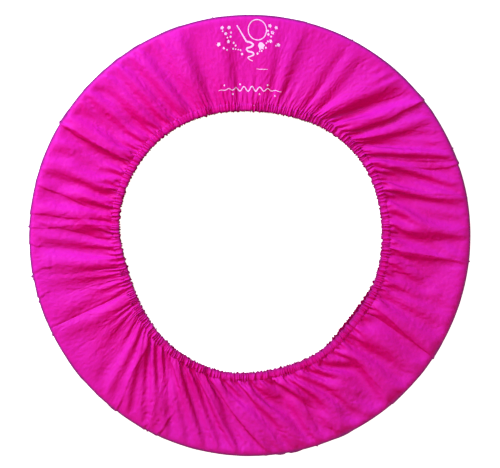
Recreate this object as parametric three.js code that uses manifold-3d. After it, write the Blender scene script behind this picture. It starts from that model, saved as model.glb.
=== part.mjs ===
// Rhythmic gymnastics hoop inside its fabric carrying cover, laid flat.
// Millimetres, +Z up. The origin is the hoop's centre, on the mid-plane of its tube; +Z points out of
// the printed front of the cover and +Y points to the print.
//
// The hoop is a plastic tube bent to a ring. Its two ends meet at the bottom (-Y), over a curved plug
// that two rivets hold, and a turn of tape covers the butt joint.
// The cover is a long strip of thin fabric wrapped round the outside of the hoop, in two lengths sewn
// end to end. Both long edges are hemmed into casings, and an elastic band in each casing draws the
// edge in to the centre opening. The hoop goes in through the slit between the two casings.
import * as THREE from "three";
import { mergeVertices } from "three/addons/utils/BufferGeometryUtils.js";
import Module from "manifold-3d";

const wasm = await Module();
wasm.setup();

// ---- driving dimensions ------------------------------------------------------------------------
// Angles are in degrees about +Z, from +X.
const GAP = 0.3; // between pieces that rest on each other
const DEG = Math.PI / 180;

// Hoop
const HOOP_INNER_D = 800; // clear diameter inside the bare hoop
const TUBE_D = 18; // outside diameter of the hoop tube
const TUBE_WALL = 2;
const RING_SEGMENTS = 72; // facets round the hoop, one each 5 degrees
const TUBE_FACETS = 12; // facets round the tube
const RING_R = HOOP_INNER_D / 2 + TUBE_D / 2; // centreline of the tube

// Joint
const JOINT_DEG = -90; // where the tube's ends meet
const BUTT_GAP = 0.4; // between the tube's two ends
const PLUG_CLEARANCE = 0.4; // plug to tube bore, radial
const PLUG_HALF_DEG = 6.3; // half the plug's length, 45 mm along the ring
const TAPE_HALF_DEG = 1.8; // half the tape's width, 13 mm
const TAPE_GAP = 0.3; // tape to tube
const TAPE_THICK = 0.2;

// Rivets
const RIVET_OFFSET_DEG = 3.6; // each side of the joint
const RIVET_R = 1.5;
const RIVET_HEAD_R = 2.8;
const RIVET_HEAD_H = 0.8;
const RIVET_CROWN_R = 0.7 * RIVET_HEAD_R; // flat top of the head
const RIVET_RIM_H = 0.45 * RIVET_HEAD_H; // straight rim of the head
const RIVET_LENGTH = 9; // from the underside of the head to the tip
const RIVET_FACETS = 12;
const RIVET_CLEARANCE = 0.3; // round the shank and past the tip
const RIVET_HEAD_UNDERSIDE = HOOP_INNER_D / 2 - GAP; // distance from the hoop's centre
const HOLE_OVERRUN = 4; // the hole's start, inwards of the head's underside

// Cover
const FABRIC = 0.5; // modelled thickness of the fabric
const WRAP_INNER_R = 10.2; // inside radius of the cover round the tube
const WRAP_FACETS = 8; // facets round the outside half of the tube
const OPENING_R = 251; // radius of the centre opening, at the fold of both hems
const FRONT_EDGE_Z = 4.5; // underside of the front layer at its inner edge
const BACK_TOP_Z = -WRAP_INNER_R; // upper face of the back layer
const SEAM_DEGS = { right: 10, left: 205 }; // the two cross seams
const SEAM_GAP = 1.2; // between the two lengths of fabric
const SEAM_THREAD = 0.6;

// Hems
const HEM_TUNNEL = 3.0; // clear height inside a casing
const STITCH_R = OPENING_R + 15; // line of stitches that closes a casing
const STITCH_HALF_WIDTH = 0.4;
const FREE_EDGE_R = STITCH_R + 2; // raw edge of the folded-in ply
const FOLD_INNER_R = OPENING_R + FABRIC + 0.1; // inside face of the fold
const BEND_OUTER_R = OPENING_R + 1.2; // where the fold's outside corners start
const BEND_INNER_R = OPENING_R + 1.4; // where its inside corners start
// Height of each corner of the fold, measured into the tunnel from the inner face of its ply.
const FOLD_CORNER = { layerOuter: 0.4, layerInner: 0.6, foldedOuter: 0.6, foldedInner: 0.8 };

// Elastics
const ELASTIC_INNER_R = 254.5;
const ELASTIC_WIDTH = 8;
const ELASTIC_OUTER_R = ELASTIC_INNER_R + ELASTIC_WIDTH;
const ELASTIC_THICK = 0.8;
const ELASTIC_LAP_DEG = 1.6; // half the lap where the band's ends are sewn together
const ELASTIC_LAP_AT = -60;
const TACK_WIDTH = 1.4;
const TACK_LENGTH = 6.4;
const TACK_THICK = 0.4;

// ---- colours and finishes ----------------------------------------------------------------------
const FINISHES = {
  fabric: { color: 0xe018a4, roughness: 0.55 },
  thread: { color: 0xd0148f, roughness: 0.7 },
  elastic: { color: 0xf2f0ee, roughness: 0.85 },
  print: { color: 0xf6eef6, roughness: 0.4 },
  tube: { color: 0xf3f3f1, roughness: 0.35 },
  plug: { color: 0xd8d8d4, roughness: 0.6 },
  rivet: { color: 0xb9bbbe, roughness: 0.3, metalness: 1 },
  tape: { color: 0xece9e2, roughness: 0.45 },
};

// ---- solids and meshes -------------------------------------------------------------------------
// A geometry as a solid, turned inside out if its faces point inwards.
function solid(geometry) {
  const bare = geometry.index ? geometry.toNonIndexed() : geometry;
  bare.deleteAttribute("normal");
  bare.deleteAttribute("uv");
  const welded = mergeVertices(bare, 1e-3);
  const vertProperties = welded.attributes.position.array;
  const make = (triVerts) =>
    new wasm.Manifold(new wasm.Mesh({ numProp: 3, vertProperties, triVerts }));

  const index = new Uint32Array(welded.index.array);
  const made = make(index);
  if (made.volume() > 0) return made;
  for (let i = 0; i < index.length; i += 3) {
    [index[i + 1], index[i + 2]] = [index[i + 2], index[i + 1]];
  }
  return make(index);
}

function geometryOf(made) {
  const { vertProperties, triVerts } = made.getMesh();
  const geometry = new THREE.BufferGeometry();
  geometry.setAttribute("position", new THREE.BufferAttribute(vertProperties, 3));
  geometry.setIndex(new THREE.BufferAttribute(triVerts, 1));
  geometry.computeVertexNormals();
  return geometry;
}

// A named mesh from a solid or a geometry.
function piece(name, shape, finish) {
  const geometry = shape.isBufferGeometry ? shape : geometryOf(shape);
  const mesh = new THREE.Mesh(geometry, new THREE.MeshStandardMaterial(finish));
  mesh.name = name;
  return mesh;
}

// A closed profile of [radius, z] points, turned about the Z axis.
function ring(profile) {
  const points = [...profile, profile[0]].map(([r, z]) => new THREE.Vector2(r, z));
  return solid(new THREE.LatheGeometry(points, RING_SEGMENTS).rotateX(Math.PI / 2));
}

// A ring of rectangular section.
function flatRing(innerR, outerR, lowZ, highZ) {
  return ring([
    [innerR, lowZ],
    [outerR, lowZ],
    [outerR, highZ],
    [innerR, highZ],
  ]);
}

// A full ring of round section, radius r, on the tube's centreline.
function roundRing(r) {
  const points = [];
  for (let i = 0; i < TUBE_FACETS; i++) {
    const angle = (i / TUBE_FACETS) * 2 * Math.PI;
    points.push([RING_R + r * Math.cos(angle), r * Math.sin(angle)]);
  }
  return ring(points);
}

// Cutting shapes reach past the whole ring: out to this radius and this far above and below it.
const CUT_R = 600;
const CUT_HALF_H = 40;

// A wedge about the Z axis from one angle to another.
function wedge(fromDeg, toDeg) {
  const shape = new THREE.Shape();
  const steps = Math.max(2, Math.ceil((toDeg - fromDeg) / 20));
  shape.moveTo(0, 0);
  for (let i = 0; i <= steps; i++) {
    const angle = (fromDeg + ((toDeg - fromDeg) * i) / steps) * DEG;
    shape.lineTo(CUT_R * Math.cos(angle), CUT_R * Math.sin(angle));
  }
  shape.closePath();
  const extruded = new THREE.ExtrudeGeometry(shape, {
    depth: 2 * CUT_HALF_H,
    bevelEnabled: false,
  });
  return solid(extruded.translate(0, 0, -CUT_HALF_H));
}

const wedgeAround = (middleDeg, halfDeg) => wedge(middleDeg - halfDeg, middleDeg + halfDeg);

// A slab of a given thickness on the radial plane at an angle, on that side of the axis only.
function slab(atDeg, thickness) {
  const innerR = 200;
  const box = new THREE.BoxGeometry(CUT_R - innerR, thickness, 2 * CUT_HALF_H);
  box.translate((innerR + CUT_R) / 2, 0, 0);
  return solid(box.rotateZ(atDeg * DEG));
}

// ---- the cover's fabric ------------------------------------------------------------------------
const frontSlope = (WRAP_INNER_R - FRONT_EDGE_Z) / (RING_R - OPENING_R);
// Underside of the front layer at a radius.
const frontZ = (r) => FRONT_EDGE_Z + (r - OPENING_R) * frontSlope;

// Each casing lies between a layer of the cover and its folded-in ply. The heights are those of the
// faces towards the tunnel; outward is the Z direction from the tunnel to the layer.
const CASINGS = {
  front: {
    outward: 1,
    layerZ: frontZ,
    foldedZ: (r) => frontZ(r) - HEM_TUNNEL,
  },
  back: {
    outward: -1,
    layerZ: () => BACK_TOP_Z,
    foldedZ: () => BACK_TOP_Z + HEM_TUNNEL,
  },
};
const floorZ = ({ layerZ, foldedZ }, r) => Math.min(layerZ(r), foldedZ(r));
const roofZ = ({ layerZ, foldedZ }, r) => Math.max(layerZ(r), foldedZ(r));

// Outer skin of a hem, from its free edge round the fold to the layer, as [radius, z].
function hemOuterSkin({ outward, layerZ, foldedZ }) {
  return [
    [FREE_EDGE_R, foldedZ(FREE_EDGE_R) - outward * FABRIC],
    [BEND_OUTER_R, foldedZ(BEND_OUTER_R) - outward * FABRIC],
    [OPENING_R, foldedZ(OPENING_R) + outward * FOLD_CORNER.foldedOuter],
    [OPENING_R, layerZ(OPENING_R) - outward * FOLD_CORNER.layerOuter],
    [BEND_OUTER_R, layerZ(BEND_OUTER_R) + outward * FABRIC],
  ];
}

// Inner skin of a hem, from the layer round the fold to its free edge.
function hemInnerSkin({ outward, layerZ, foldedZ }) {
  return [
    [BEND_INNER_R, layerZ(BEND_INNER_R)],
    [FOLD_INNER_R, layerZ(OPENING_R) - outward * FOLD_CORNER.layerInner],
    [FOLD_INNER_R, foldedZ(OPENING_R) + outward * FOLD_CORNER.foldedInner],
    [BEND_INNER_R, foldedZ(BEND_INNER_R)],
    [FREE_EDGE_R, foldedZ(FREE_EDGE_R)],
  ];
}

// Half circle round the outside of the tube, from the top to the bottom.
function wrap(r) {
  const points = [];
  for (let i = 0; i <= WRAP_FACETS; i++) {
    const angle = (90 - (180 * i) / WRAP_FACETS) * DEG;
    points.push([RING_R + r * Math.cos(angle), r * Math.sin(angle)]);
  }
  return points;
}

// The outer skin from the front hem to the back hem, then the inner skin back the same way.
const coverRing = ring([
  ...hemOuterSkin(CASINGS.front),
  ...wrap(WRAP_INNER_R + FABRIC),
  ...hemOuterSkin(CASINGS.back).reverse(),
  ...hemInnerSkin(CASINGS.back).reverse(),
  ...wrap(WRAP_INNER_R).reverse(),
  ...hemInnerSkin(CASINGS.front),
]);
const seamSlots = slab(SEAM_DEGS.right, SEAM_GAP).add(slab(SEAM_DEGS.left, SEAM_GAP));

const coverStrip = (fromDeg, toDeg) =>
  coverRing.intersect(wedge(fromDeg, toDeg)).subtract(seamSlots);

const seamThread = (atDeg) => coverRing.intersect(slab(atDeg, SEAM_THREAD));

// ---- elastics, their tacks and the hem threads -------------------------------------------------
const elasticZ = (casing) => floorZ(casing, ELASTIC_OUTER_R) + GAP;

// A flat band, of double thickness where its ends lap.
function elastic(casing) {
  const lowZ = elasticZ(casing);
  const layers = (count) =>
    flatRing(ELASTIC_INNER_R, ELASTIC_OUTER_R, lowZ, lowZ + count * ELASTIC_THICK);
  const lap = layers(2).intersect(wedgeAround(ELASTIC_LAP_AT, ELASTIC_LAP_DEG));
  return layers(1).add(lap);
}

// A short radial bar of thread on top of the lap.
function tack(casing) {
  const lapTopZ = elasticZ(casing) + 2 * ELASTIC_THICK;
  return new THREE.BoxGeometry(TACK_LENGTH, TACK_WIDTH, TACK_THICK)
    .translate(ELASTIC_INNER_R + ELASTIC_WIDTH / 2, 0, lapTopZ + GAP + TACK_THICK / 2)
    .rotateZ(ELASTIC_LAP_AT * DEG);
}

// The stitches that close a casing, as one ring between its two plies.
function hemThread(casing) {
  return flatRing(
    STITCH_R - STITCH_HALF_WIDTH,
    STITCH_R + STITCH_HALF_WIDTH,
    floorZ(casing, STITCH_R) + GAP,
    roofZ(casing, STITCH_R) - GAP,
  );
}

// ---- the hoop ----------------------------------------------------------------------------------
const RIVET_DEGS = {
  left: JOINT_DEG - RIVET_OFFSET_DEG,
  right: JOINT_DEG + RIVET_OFFSET_DEG,
};
const BORE_R = TUBE_D / 2 - TUBE_WALL;

// A rivet pointing outwards, with its head on the inside of the hoop.
function rivet(atDeg) {
  // [radius, distance along the shank from the underside of the head]
  const profile = [
    [0, -RIVET_HEAD_H],
    [RIVET_CROWN_R, -RIVET_HEAD_H],
    [RIVET_HEAD_R, -RIVET_RIM_H],
    [RIVET_HEAD_R, 0],
    [RIVET_R, 0],
    [RIVET_R, RIVET_LENGTH],
    [0, RIVET_LENGTH],
  ].map(([r, along]) => new THREE.Vector2(r, along));
  return new THREE.LatheGeometry(profile, RIVET_FACETS)
    .rotateZ(-Math.PI / 2) // +Y to +X
    .translate(RIVET_HEAD_UNDERSIDE, 0, 0)
    .rotateZ(atDeg * DEG);
}

function rivetHole(atDeg) {
  const r = RIVET_R + RIVET_CLEARANCE;
  const length = HOLE_OVERRUN + RIVET_LENGTH + RIVET_CLEARANCE;
  const cylinder = new THREE.CylinderGeometry(r, r, length, RIVET_FACETS)
    .rotateZ(-Math.PI / 2)
    .translate(RIVET_HEAD_UNDERSIDE - HOLE_OVERRUN + length / 2, 0, 0)
    .rotateZ(atDeg * DEG);
  return solid(cylinder);
}

const rivetHoles = rivetHole(RIVET_DEGS.left).add(rivetHole(RIVET_DEGS.right));

function hoopTube() {
  return roundRing(TUBE_D / 2)
    .subtract(roundRing(BORE_R))
    .subtract(slab(JOINT_DEG, BUTT_GAP))
    .subtract(rivetHoles);
}

function jointPlug() {
  return roundRing(BORE_R - PLUG_CLEARANCE)
    .intersect(wedgeAround(JOINT_DEG, PLUG_HALF_DEG))
    .subtract(rivetHoles);
}

function jointTape() {
  const innerR = TUBE_D / 2 + TAPE_GAP;
  return roundRing(innerR + TAPE_THICK)
    .subtract(roundRing(innerR))
    .intersect(wedgeAround(JOINT_DEG, TAPE_HALF_DEG));
}

// ---- the print ---------------------------------------------------------------------------------
// Transfer film pressed on the front, drawn in a plane with x to the right and y away from the centre.
const PRINT_THICK = 0.15;
const PRINT_GAP = GAP + 0.05; // film to fabric, along Z

function film(shape) {
  return solid(
    new THREE.ExtrudeGeometry(shape, {
      depth: PRINT_THICK,
      bevelEnabled: false,
      curveSegments: 20,
    }),
  );
}

function polygon(points) {
  const shape = new THREE.Shape();
  points.forEach(([x, y], i) => (i ? shape.lineTo(x, y) : shape.moveTo(x, y)));
  shape.closePath();
  return film(shape);
}

function disc(x, y, r, holeR = 0) {
  const shape = new THREE.Shape();
  shape.absarc(x, y, r, 0, 2 * Math.PI, false);
  if (holeR) {
    const hole = new THREE.Path();
    hole.absarc(x, y, holeR, 0, 2 * Math.PI, true);
    shape.holes.push(hole);
  }
  return film(shape);
}

// A five-pointed star, turned anticlockwise from upright.
function star(x, y, tipR, turnDeg) {
  const notchR = tipR * 0.45;
  const corners = [];
  for (let i = 0; i < 10; i++) {
    const angle = (turnDeg + 90 + i * 36) * DEG;
    const r = i % 2 ? notchR : tipR;
    corners.push([x + r * Math.cos(angle), y + r * Math.sin(angle)]);
  }
  return polygon(corners);
}

// A line of even width along a smooth curve through points.
function stroke(points, width, steps) {
  const curve = new THREE.CatmullRomCurve3(points.map(([x, y]) => new THREE.Vector3(x, y, 0)));
  const left = [];
  const right = [];
  for (let i = 0; i <= steps; i++) {
    const point = curve.getPoint(i / steps);
    const tangent = curve.getTangent(i / steps);
    const offsetX = (tangent.y * width) / 2;
    const offsetY = (tangent.x * width) / 2;
    left.push([point.x - offsetX, point.y + offsetY]);
    right.push([point.x + offsetX, point.y - offsetY]);
  }
  return polygon([...left, ...right.reverse()]);
}

// A small hoop with a ribbon curling through it, and a ball.
const EMBLEM_Y = 372;
// [x, y from EMBLEM_Y]
const RIBBON_POINTS = [
  [-22, 17], [-12, 6], [-3, 9],
  [4, 1], [0, -7], [-8, -3],
  [-6, -15], [3, -20], [1, -30],
];
function emblem() {
  const smallHoop = disc(5, EMBLEM_Y + 4, 17, 15.4);
  const ribbonPath = RIBBON_POINTS.map(([x, y]) => [x, EMBLEM_Y + y]);
  const ribbon = stroke(ribbonPath, 2.2, 36);
  const ball = disc(1, EMBLEM_Y + 1, 4.2);
  return smallHoop.add(ribbon).add(ball);
}

// Stars of several sizes on a thin trail; the last star is on a branch from the fourth.
const STAR_TRAIL_WIDTH = 0.8;
const STAR_TURN_DEG = 17; // from each star to the next
// [x, y, tip radius] on the right-hand side
const STAR_SPOTS = [
  [20, 352, 2.2],
  [28, 359, 2.6],
  [36, 368, 3.4],
  [45, 377, 4.4],
  [52, 388, 4.2],
  [60, 372, 4.6],
];
const BRANCH_BEND = [52, 373];

// side is 1 for the right (+X), -1 for the left.
function stars(side) {
  const trail = (points, steps) =>
    stroke(points.map(([x, y]) => [side * x, y]), STAR_TRAIL_WIDTH, steps);
  const mainTrail = trail(STAR_SPOTS.slice(0, 5), 20);
  const branch = trail([STAR_SPOTS[3], BRANCH_BEND, STAR_SPOTS[5]], 6);
  return STAR_SPOTS.reduce(
    (made, [x, y, tipR], i) => made.add(star(side * x, y, tipR, side * i * STAR_TURN_DEG)),
    mainTrail.add(branch),
  );
}

// A plain curling line under the emblem, a wave that grows smaller to the right.
const FLOURISH = {
  halfLength: 62,
  y: 291,
  height: 5.5, // of the wave at its left end
  fade: 0.6, // share of the height lost by the right end
  halfWaves: 9,
  points: 24,
  width: 1.8,
  steps: 60,
};
function flourish() {
  const { halfLength, y, height, fade, halfWaves, width, steps } = FLOURISH;
  const points = [];
  for (let i = 0; i <= FLOURISH.points; i++) {
    const along = i / FLOURISH.points;
    points.push([
      -halfLength + 2 * halfLength * along,
      y + height * Math.sin(along * halfWaves * Math.PI) * (1 - fade * along),
    ]);
  }
  return stroke(points, width, steps);
}

// The front layer falls away towards the centre, so the film is tilted to lie on it.
function printPiece(name, made) {
  const mesh = piece(name, made, FINISHES.print);
  mesh.position.set(0, -OPENING_R, 0);
  const tilted = new THREE.Group();
  tilted.rotation.x = Math.atan(frontSlope);
  tilted.position.set(0, OPENING_R, FRONT_EDGE_Z + FABRIC + PRINT_GAP);
  tilted.add(mesh);
  return tilted;
}

// ---- the assembly ------------------------------------------------------------------------------
const hoop = new THREE.Group();
hoop.add(
  piece("hoop_tube", hoopTube(), FINISHES.tube),
  piece("joint_plug", jointPlug(), FINISHES.plug),
  piece("joint_rivet_left", rivet(RIVET_DEGS.left), FINISHES.rivet),
  piece("joint_rivet_right", rivet(RIVET_DEGS.right), FINISHES.rivet),
  piece("joint_tape", jointTape(), FINISHES.tape),
);

const { right, left } = SEAM_DEGS;
const cover = new THREE.Group();
cover.add(
  piece("cover_upper_strip", coverStrip(right, left), FINISHES.fabric),
  piece("cover_lower_strip", coverStrip(left, right + 360), FINISHES.fabric),
  piece("right_seam_thread", seamThread(right), FINISHES.thread),
  piece("left_seam_thread", seamThread(left), FINISHES.thread),
  piece("front_elastic", elastic(CASINGS.front), FINISHES.elastic),
  piece("back_elastic", elastic(CASINGS.back), FINISHES.elastic),
  piece("front_elastic_tack", tack(CASINGS.front), FINISHES.thread),
  piece("back_elastic_tack", tack(CASINGS.back), FINISHES.thread),
  piece("front_hem_thread", hemThread(CASINGS.front), FINISHES.thread),
  piece("back_hem_thread", hemThread(CASINGS.back), FINISHES.thread),
  printPiece("print_emblem", emblem()),
  printPiece("print_stars_left", stars(-1)),
  printPiece("print_stars_right", stars(1)),
  printPiece("print_flourish", flourish()),
);

const coveredHoop = new THREE.Group();
coveredHoop.add(cover, hoop);

export default coveredHoop;
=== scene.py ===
"""A rhythmic gymnastics hoop in its gathered fabric cover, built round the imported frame.

The cover is one long strip of thin cloth, wrapped round the hoop. Its front and back layers are each solved as
cloth: a grid with rest lengths, held on the tube at its outer line and gathered on the elastic at its hem.
Lengths in this file are millimetres until a mesh is made, which is in metres."""
import math
from concurrent.futures import ThreadPoolExecutor

import bpy
import numpy as np
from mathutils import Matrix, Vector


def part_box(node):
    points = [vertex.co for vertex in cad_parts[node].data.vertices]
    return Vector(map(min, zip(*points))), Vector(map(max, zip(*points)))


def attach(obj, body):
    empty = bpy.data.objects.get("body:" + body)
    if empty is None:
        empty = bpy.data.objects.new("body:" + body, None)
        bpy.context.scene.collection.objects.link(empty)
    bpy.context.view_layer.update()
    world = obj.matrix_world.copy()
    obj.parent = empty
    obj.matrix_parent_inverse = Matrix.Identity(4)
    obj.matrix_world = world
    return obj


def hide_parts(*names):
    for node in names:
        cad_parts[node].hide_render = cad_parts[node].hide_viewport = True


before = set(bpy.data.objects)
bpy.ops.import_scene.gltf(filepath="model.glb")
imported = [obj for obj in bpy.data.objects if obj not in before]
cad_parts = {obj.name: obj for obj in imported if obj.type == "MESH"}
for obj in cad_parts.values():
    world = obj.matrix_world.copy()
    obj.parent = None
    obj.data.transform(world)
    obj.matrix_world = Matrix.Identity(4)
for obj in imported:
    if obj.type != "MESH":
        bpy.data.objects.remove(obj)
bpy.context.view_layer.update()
DEG = math.pi / 180
MM = 0.001

# ---- driving dimensions, from the frame ---------------------------------------------------------------------
tube_lo, tube_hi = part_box("hoop_tube")
TUBE_R = (tube_hi.z - tube_lo.z) / 2 / MM           # 9
RING_R = (tube_hi.x - tube_lo.x) / 2 / MM - TUBE_R  # 409
cover_lo, cover_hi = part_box("cover_upper_strip")
FLOOR_Z = cover_lo.z / MM                            # -10.7
WRAP_R = -FLOOR_Z - 0.25                             # the cloth's own radius round the tube
R_OUT = RING_R + WRAP_R
elastic_lo, elastic_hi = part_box("front_elastic")
ELASTIC_R = elastic_hi.x / MM                        # 262.5
STITCH = 15.0                                        # casing, from its fold to its stitches
STITCH_R = 266.0                                     # mean radius of the line of stitches
SEAMS = {"right": 10.0, "left": 205.0}               # cross seams, degrees
FRONT_HEM_Z, BACK_HEM_Z = 4.8, -7.2

# ---- the cloth strip ----------------------------------------------------------------------------------------
CLOTH_L = 2700.0                                     # its length round the hoop
N_U, N_V = 1344, 56                                  # grid, along and across one layer
WRAP_ARC = WRAP_R * math.pi / 2
V_LEN = WRAP_ARC + (RING_R - STITCH_R) + 1.6         # from the outer line to the line of stitches
GATHER = 0.27                                        # spare cloth at the hem, as a fraction of its line

# Main folds, in order round the ring: a valley, then the ridge after it, each as its angle near the hem and near the
# outer line, in degrees, then the size of the ridge, 1 to 4, then where it starts if that isn't the outer line, as a
# fraction of the way in.
FOLD_HEM_R, FOLD_OUTER_R = 284.5, 398.0              # the radii of those two angles
FOLDS = [
    (-1, -1.5, 5, 1.5, 2), (7.5, 5, 9.5, 7, 1), (14.5, 9.8, 17.5, 10.5, 2), (23.5, 19.5, 29, 21, 3),
    (32, 22, 34, 22.7, 2), (38.7, 32.5, 41.8, 35.2, 3), (44, 37.5, 47.2, 40, 3), (53.5, 43.2, 59, 49, 3),
    (61.5, 58, 63.3, 60.8, 2), (66.5, 63.2, 69, 65.5, 1), (76.2, 74.6, 78.4, 76.4, 2), (81.5, 81, 84, 83, 1),
    (94.5, 95.5, 97.5, 98, 1), (105.8, 106.2, 109.3, 110.3, 3), (115.2, 118, 118, 121.5, 2),
    (123.2, 124.8, 125.8, 127.2, 2), (128.7, 130.2, 130.8, 132, 1), (135.2, 135.8, 138.2, 139, 2), (140, 140.2, 141.6, 141.8, 1),
    (143.5, 143.5, 147.5, 149, 3), (151.5, 150.5, 154, 154, 1), (157.5, 157, 161, 161.5, 2),
    (163.5, 164, 168, 166.3, 3), (170.5, 168.5, 172.5, 174, 3), (175, 175, 176.7, 177, 3), (181, 178.5, 184.5, 181, 2),
    (187, 183, 190.8, 188, 3), (194, 191.3, 195.8, 193, 1), (197.3, 195, 201.2, 203, 3), (204.7, 204.7, 207.8, 206.5, 3),
    (211, 210, 215.5, 220, 3), (218.5, 223.5, 220.5, 227, 2), (222.5, 228.5, 225, 231.5, 3), (227, 233, 229, 236, 1, 0.35),
    (231, 238, 233, 240, 1, 0.45), (234.5, 241.5, 236, 243, 1, 0.5), (238, 244.5, 240, 246, 2, 0.4), (243, 249, 247, 256, 2, 0.45),
    (250, 259, 253, 263, 2, 0.42), (256, 265, 259, 268, 2, 0.22), (261.5, 271, 264, 273.5, 2), (267, 275.5, 269, 277, 3),
    (271.5, 278, 274.5, 280.5, 3), (279, 283.5, 283.5, 287, 2, 0.1), (286.5, 289.5, 289.6, 294.5, 3), (293.6, 298, 297.5, 301, 1, 0.2),
    (306.5, 307, 310, 311, 3), (314, 317, 319, 321.5, 2), (326.5, 325.5, 331, 328.5, 4), (335, 333, 338, 337.5, 1),
    (339.5, 339.5, 342, 342, 2), (345.5, 344.5, 347.5, 347, 1), (349, 349, 350.3, 350.3, 1), (352, 351.5, 354, 353.5, 3),
]
FOLD_SIZE = {1: 0.45, 2: 0.95, 3: 1.5, 4: 2.6}
# How strong the folds are round the ring, against the mean: angle, fraction.
STRENGTH = [(0, 0.7), (20, 0.92), (45, 1.14), (75, 0.72), (93, 0.5), (108, 0.9), (135, 1.42), (165, 0.62), (195, 0.48), (225, 0.76), (250, 1.32),
            (270, 1.1), (290, 0.9), (315, 0.68), (345, 0.42)]
# Small tucks on the outer line: angle, size and width in millimetres.
TUCKS = [(23, 1.0, 4.2), (62, 0.9, 4.2), (99.5, 0.7, 4.2), (148.8, 1.2, 4.2), (177.5, 1.2, 4.2), (190.2, 1.8, 8.5), (197.1, 1.2, 7.0),
         (206.5, 1.2, 5.5), (242, 1.2, 5.5), (287.5, 1.0, 4.6), (325.8, 1.4, 5.5), (353, 0.9, 4.2)]
# How uneven the cloth lies over a hand's width, against the mean: angle, fraction.
BROAD = [(0, 1.0), (40, 1.0), (75, 0.45), (100, 0.8), (150, 1.5), (190, 1.6), (230, 1.7), (260, 1.8), (290, 1.6), (320, 1.0)]
# How much the folds wave the outer line: angle, fraction of their height.
WAVY = [(0, 0.03), (60, 0.05), (120, 0.10), (160, 0.10), (200, 0.06), (235, 0.20), (265, 0.26), (295, 0.20), (315, 0.05)]
# How far the hem is turned against the outer line follows from the folds.
TILT = [(f[3], f[2] - f[3]) for f in FOLDS]
# How full the gathers are, against the mean: angle, fraction.
FULL = [(0, 0.62), (20, 1.05), (45, 1.05), (60, 0.45), (72, 0.22), (85, 0.3), (112, 0.35), (135, 0.45), (150, 0.75), (175, 0.8),
        (190, 0.62), (208, 0.65), (225, 0.95), (245, 0.8), (262, 0.85), (280, 1.0), (300, 0.6), (320, 0.6), (345, 0.5)]
# How deep the ribs of the casings are, against the mean: angle, fraction. Where they are shallow they are more broken.
CALM = [(0, 0.70), (30, 0.74), (55, 0.85), (80, 0.95), (110, 0.85), (135, 0.85), (165, 1.0), (240, 1.0), (290, 0.95), (330, 0.78)]
# Creases pressed into the cloth: angle at each end, fraction of the way in at each end, depth in millimetres.
CREASES = [(9.9, 18.9, 0.03, 0.98, -1.2), (18.9, 28.3, 0.0, 0.95, 1.8), (20.9, 33.2, 0.06, 0.95, 2.0),
           (189.5, 188.4, 0.0, 0.30, 1.5), (191.6, 191.2, 0.0, 0.07, 1.0), (196.4, 195.4, 0.0, 0.16, 1.4),
           (346.9, 346.0, 0.62, 0.97, 1.2), (349.7, 349.2, 0.70, 0.97, 1.4),
           (38.0, 46.0, 0.02, 0.95, 2.3), (41.2, 52.5, 0.38, 0.97, 0.9), (43.3, 57.5, 0.1, 0.9, 0.8), (75.0, 76.8, 0.0, 0.5, 0.5),
           (125.3, 124.4, 0.1, 0.9, 0.6), (149.7, 149.3, 0.0, 0.95, 1.4), (166.4, 170.3, 0.05, 0.85, 1.8),
           (174.3, 173.9, 0.0, 0.9, 1.2), (178.0, 175.6, 0.02, 0.97, 0.9), (177.6, 181.4, 0.42, 0.97, 1.2), (182.2, 183.2, 0.0, 0.2, 1.5),
           (232.6, 226.5, 0.0, 0.95, 1.6), (241.2, 241.4, 0.0, 0.14, 1.5), (245.1, 246.5, 0.0, 0.34, 2.0),
           (277.2, 270.8, 0.15, 0.8, 1.1), (288.8, 286.3, 0.25, 0.95, 1.2), (310.6, 310.6, 0.0, 0.8, 0.9),
           (326.2, 330.2, 0.0, 0.97, 1.7), (338.2, 336.0, 0.05, 0.4, -0.6), (352.9, 352.7, 0.1, 0.9, 0.7),
           (255.0, 247.5, 0.4, 0.8, 0.7), (262.0, 254.0, 0.4, 0.85, 0.6), (240.5, 234.0, 0.5, 0.92, 0.6),
           (243.0, 237.0, 0.5, 0.9, 0.6), (205.3, 211.0, 0.4, 0.95, 0.6), (196.0, 200.5, 0.35, 0.8, 0.6)]
# Radius of the centre opening: angle, millimetres.
OPENING = [(0, 252), (20, 254), (30, 256), (40, 254), (60, 246), (70, 239), (90, 236), (110, 243), (130, 250),
           (150, 252), (170, 252), (180, 248), (190, 242), (200, 241), (210, 245), (220, 250), (230, 257),
           (245, 262), (260, 266), (275, 260), (290, 258), (300, 260), (310, 254), (320, 250), (340, 254)]


def periodic(points, th, width=8.0):
    """A smooth closed curve through (degrees, value) points, read at angles th."""
    a = np.array([p[0] for p in points], float) % 360
    v = np.array([p[1] for p in points], float)
    o = np.argsort(a)
    a, v = a[o], v[o]
    f = np.arange(720) / 2
    y = np.interp(f, np.r_[a - 360, a, a + 360], np.r_[v, v, v])
    k = np.exp(-0.5 * (np.arange(-60, 61) / (2 * width)) ** 2)
    y = np.convolve(np.r_[y[-60:], y, y[:60]], k / k.sum(), "valid")
    return np.interp(np.degrees(th) % 360, np.r_[f, 360], np.r_[y, y[0]])


def opening_r(th, side=1):
    """Radius of the opening. Low on the right the back hem stands a little inside the front one."""
    r = periodic(OPENING, th, 5.0) - 1.5
    if side < 0:
        r = r - 4.6 * np.exp(-((((np.degrees(th) - 322 + 180) % 360 - 180) / 15.0) ** 4))
    return r


def along_noise(n, lam, rng, amp=1.0):
    """Closed noise of n samples round the strip, of wavelength about lam."""
    f = np.arange(n // 2 + 1) / CLOTH_L
    c = np.exp(-0.5 * ((f - 1 / lam) / (0.28 / lam)) ** 2)
    c = c * (rng.normal(size=len(f)) + 1j * rng.normal(size=len(f)))
    y = np.fft.irfft(c, n)
    return y / y.std() * amp


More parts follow.
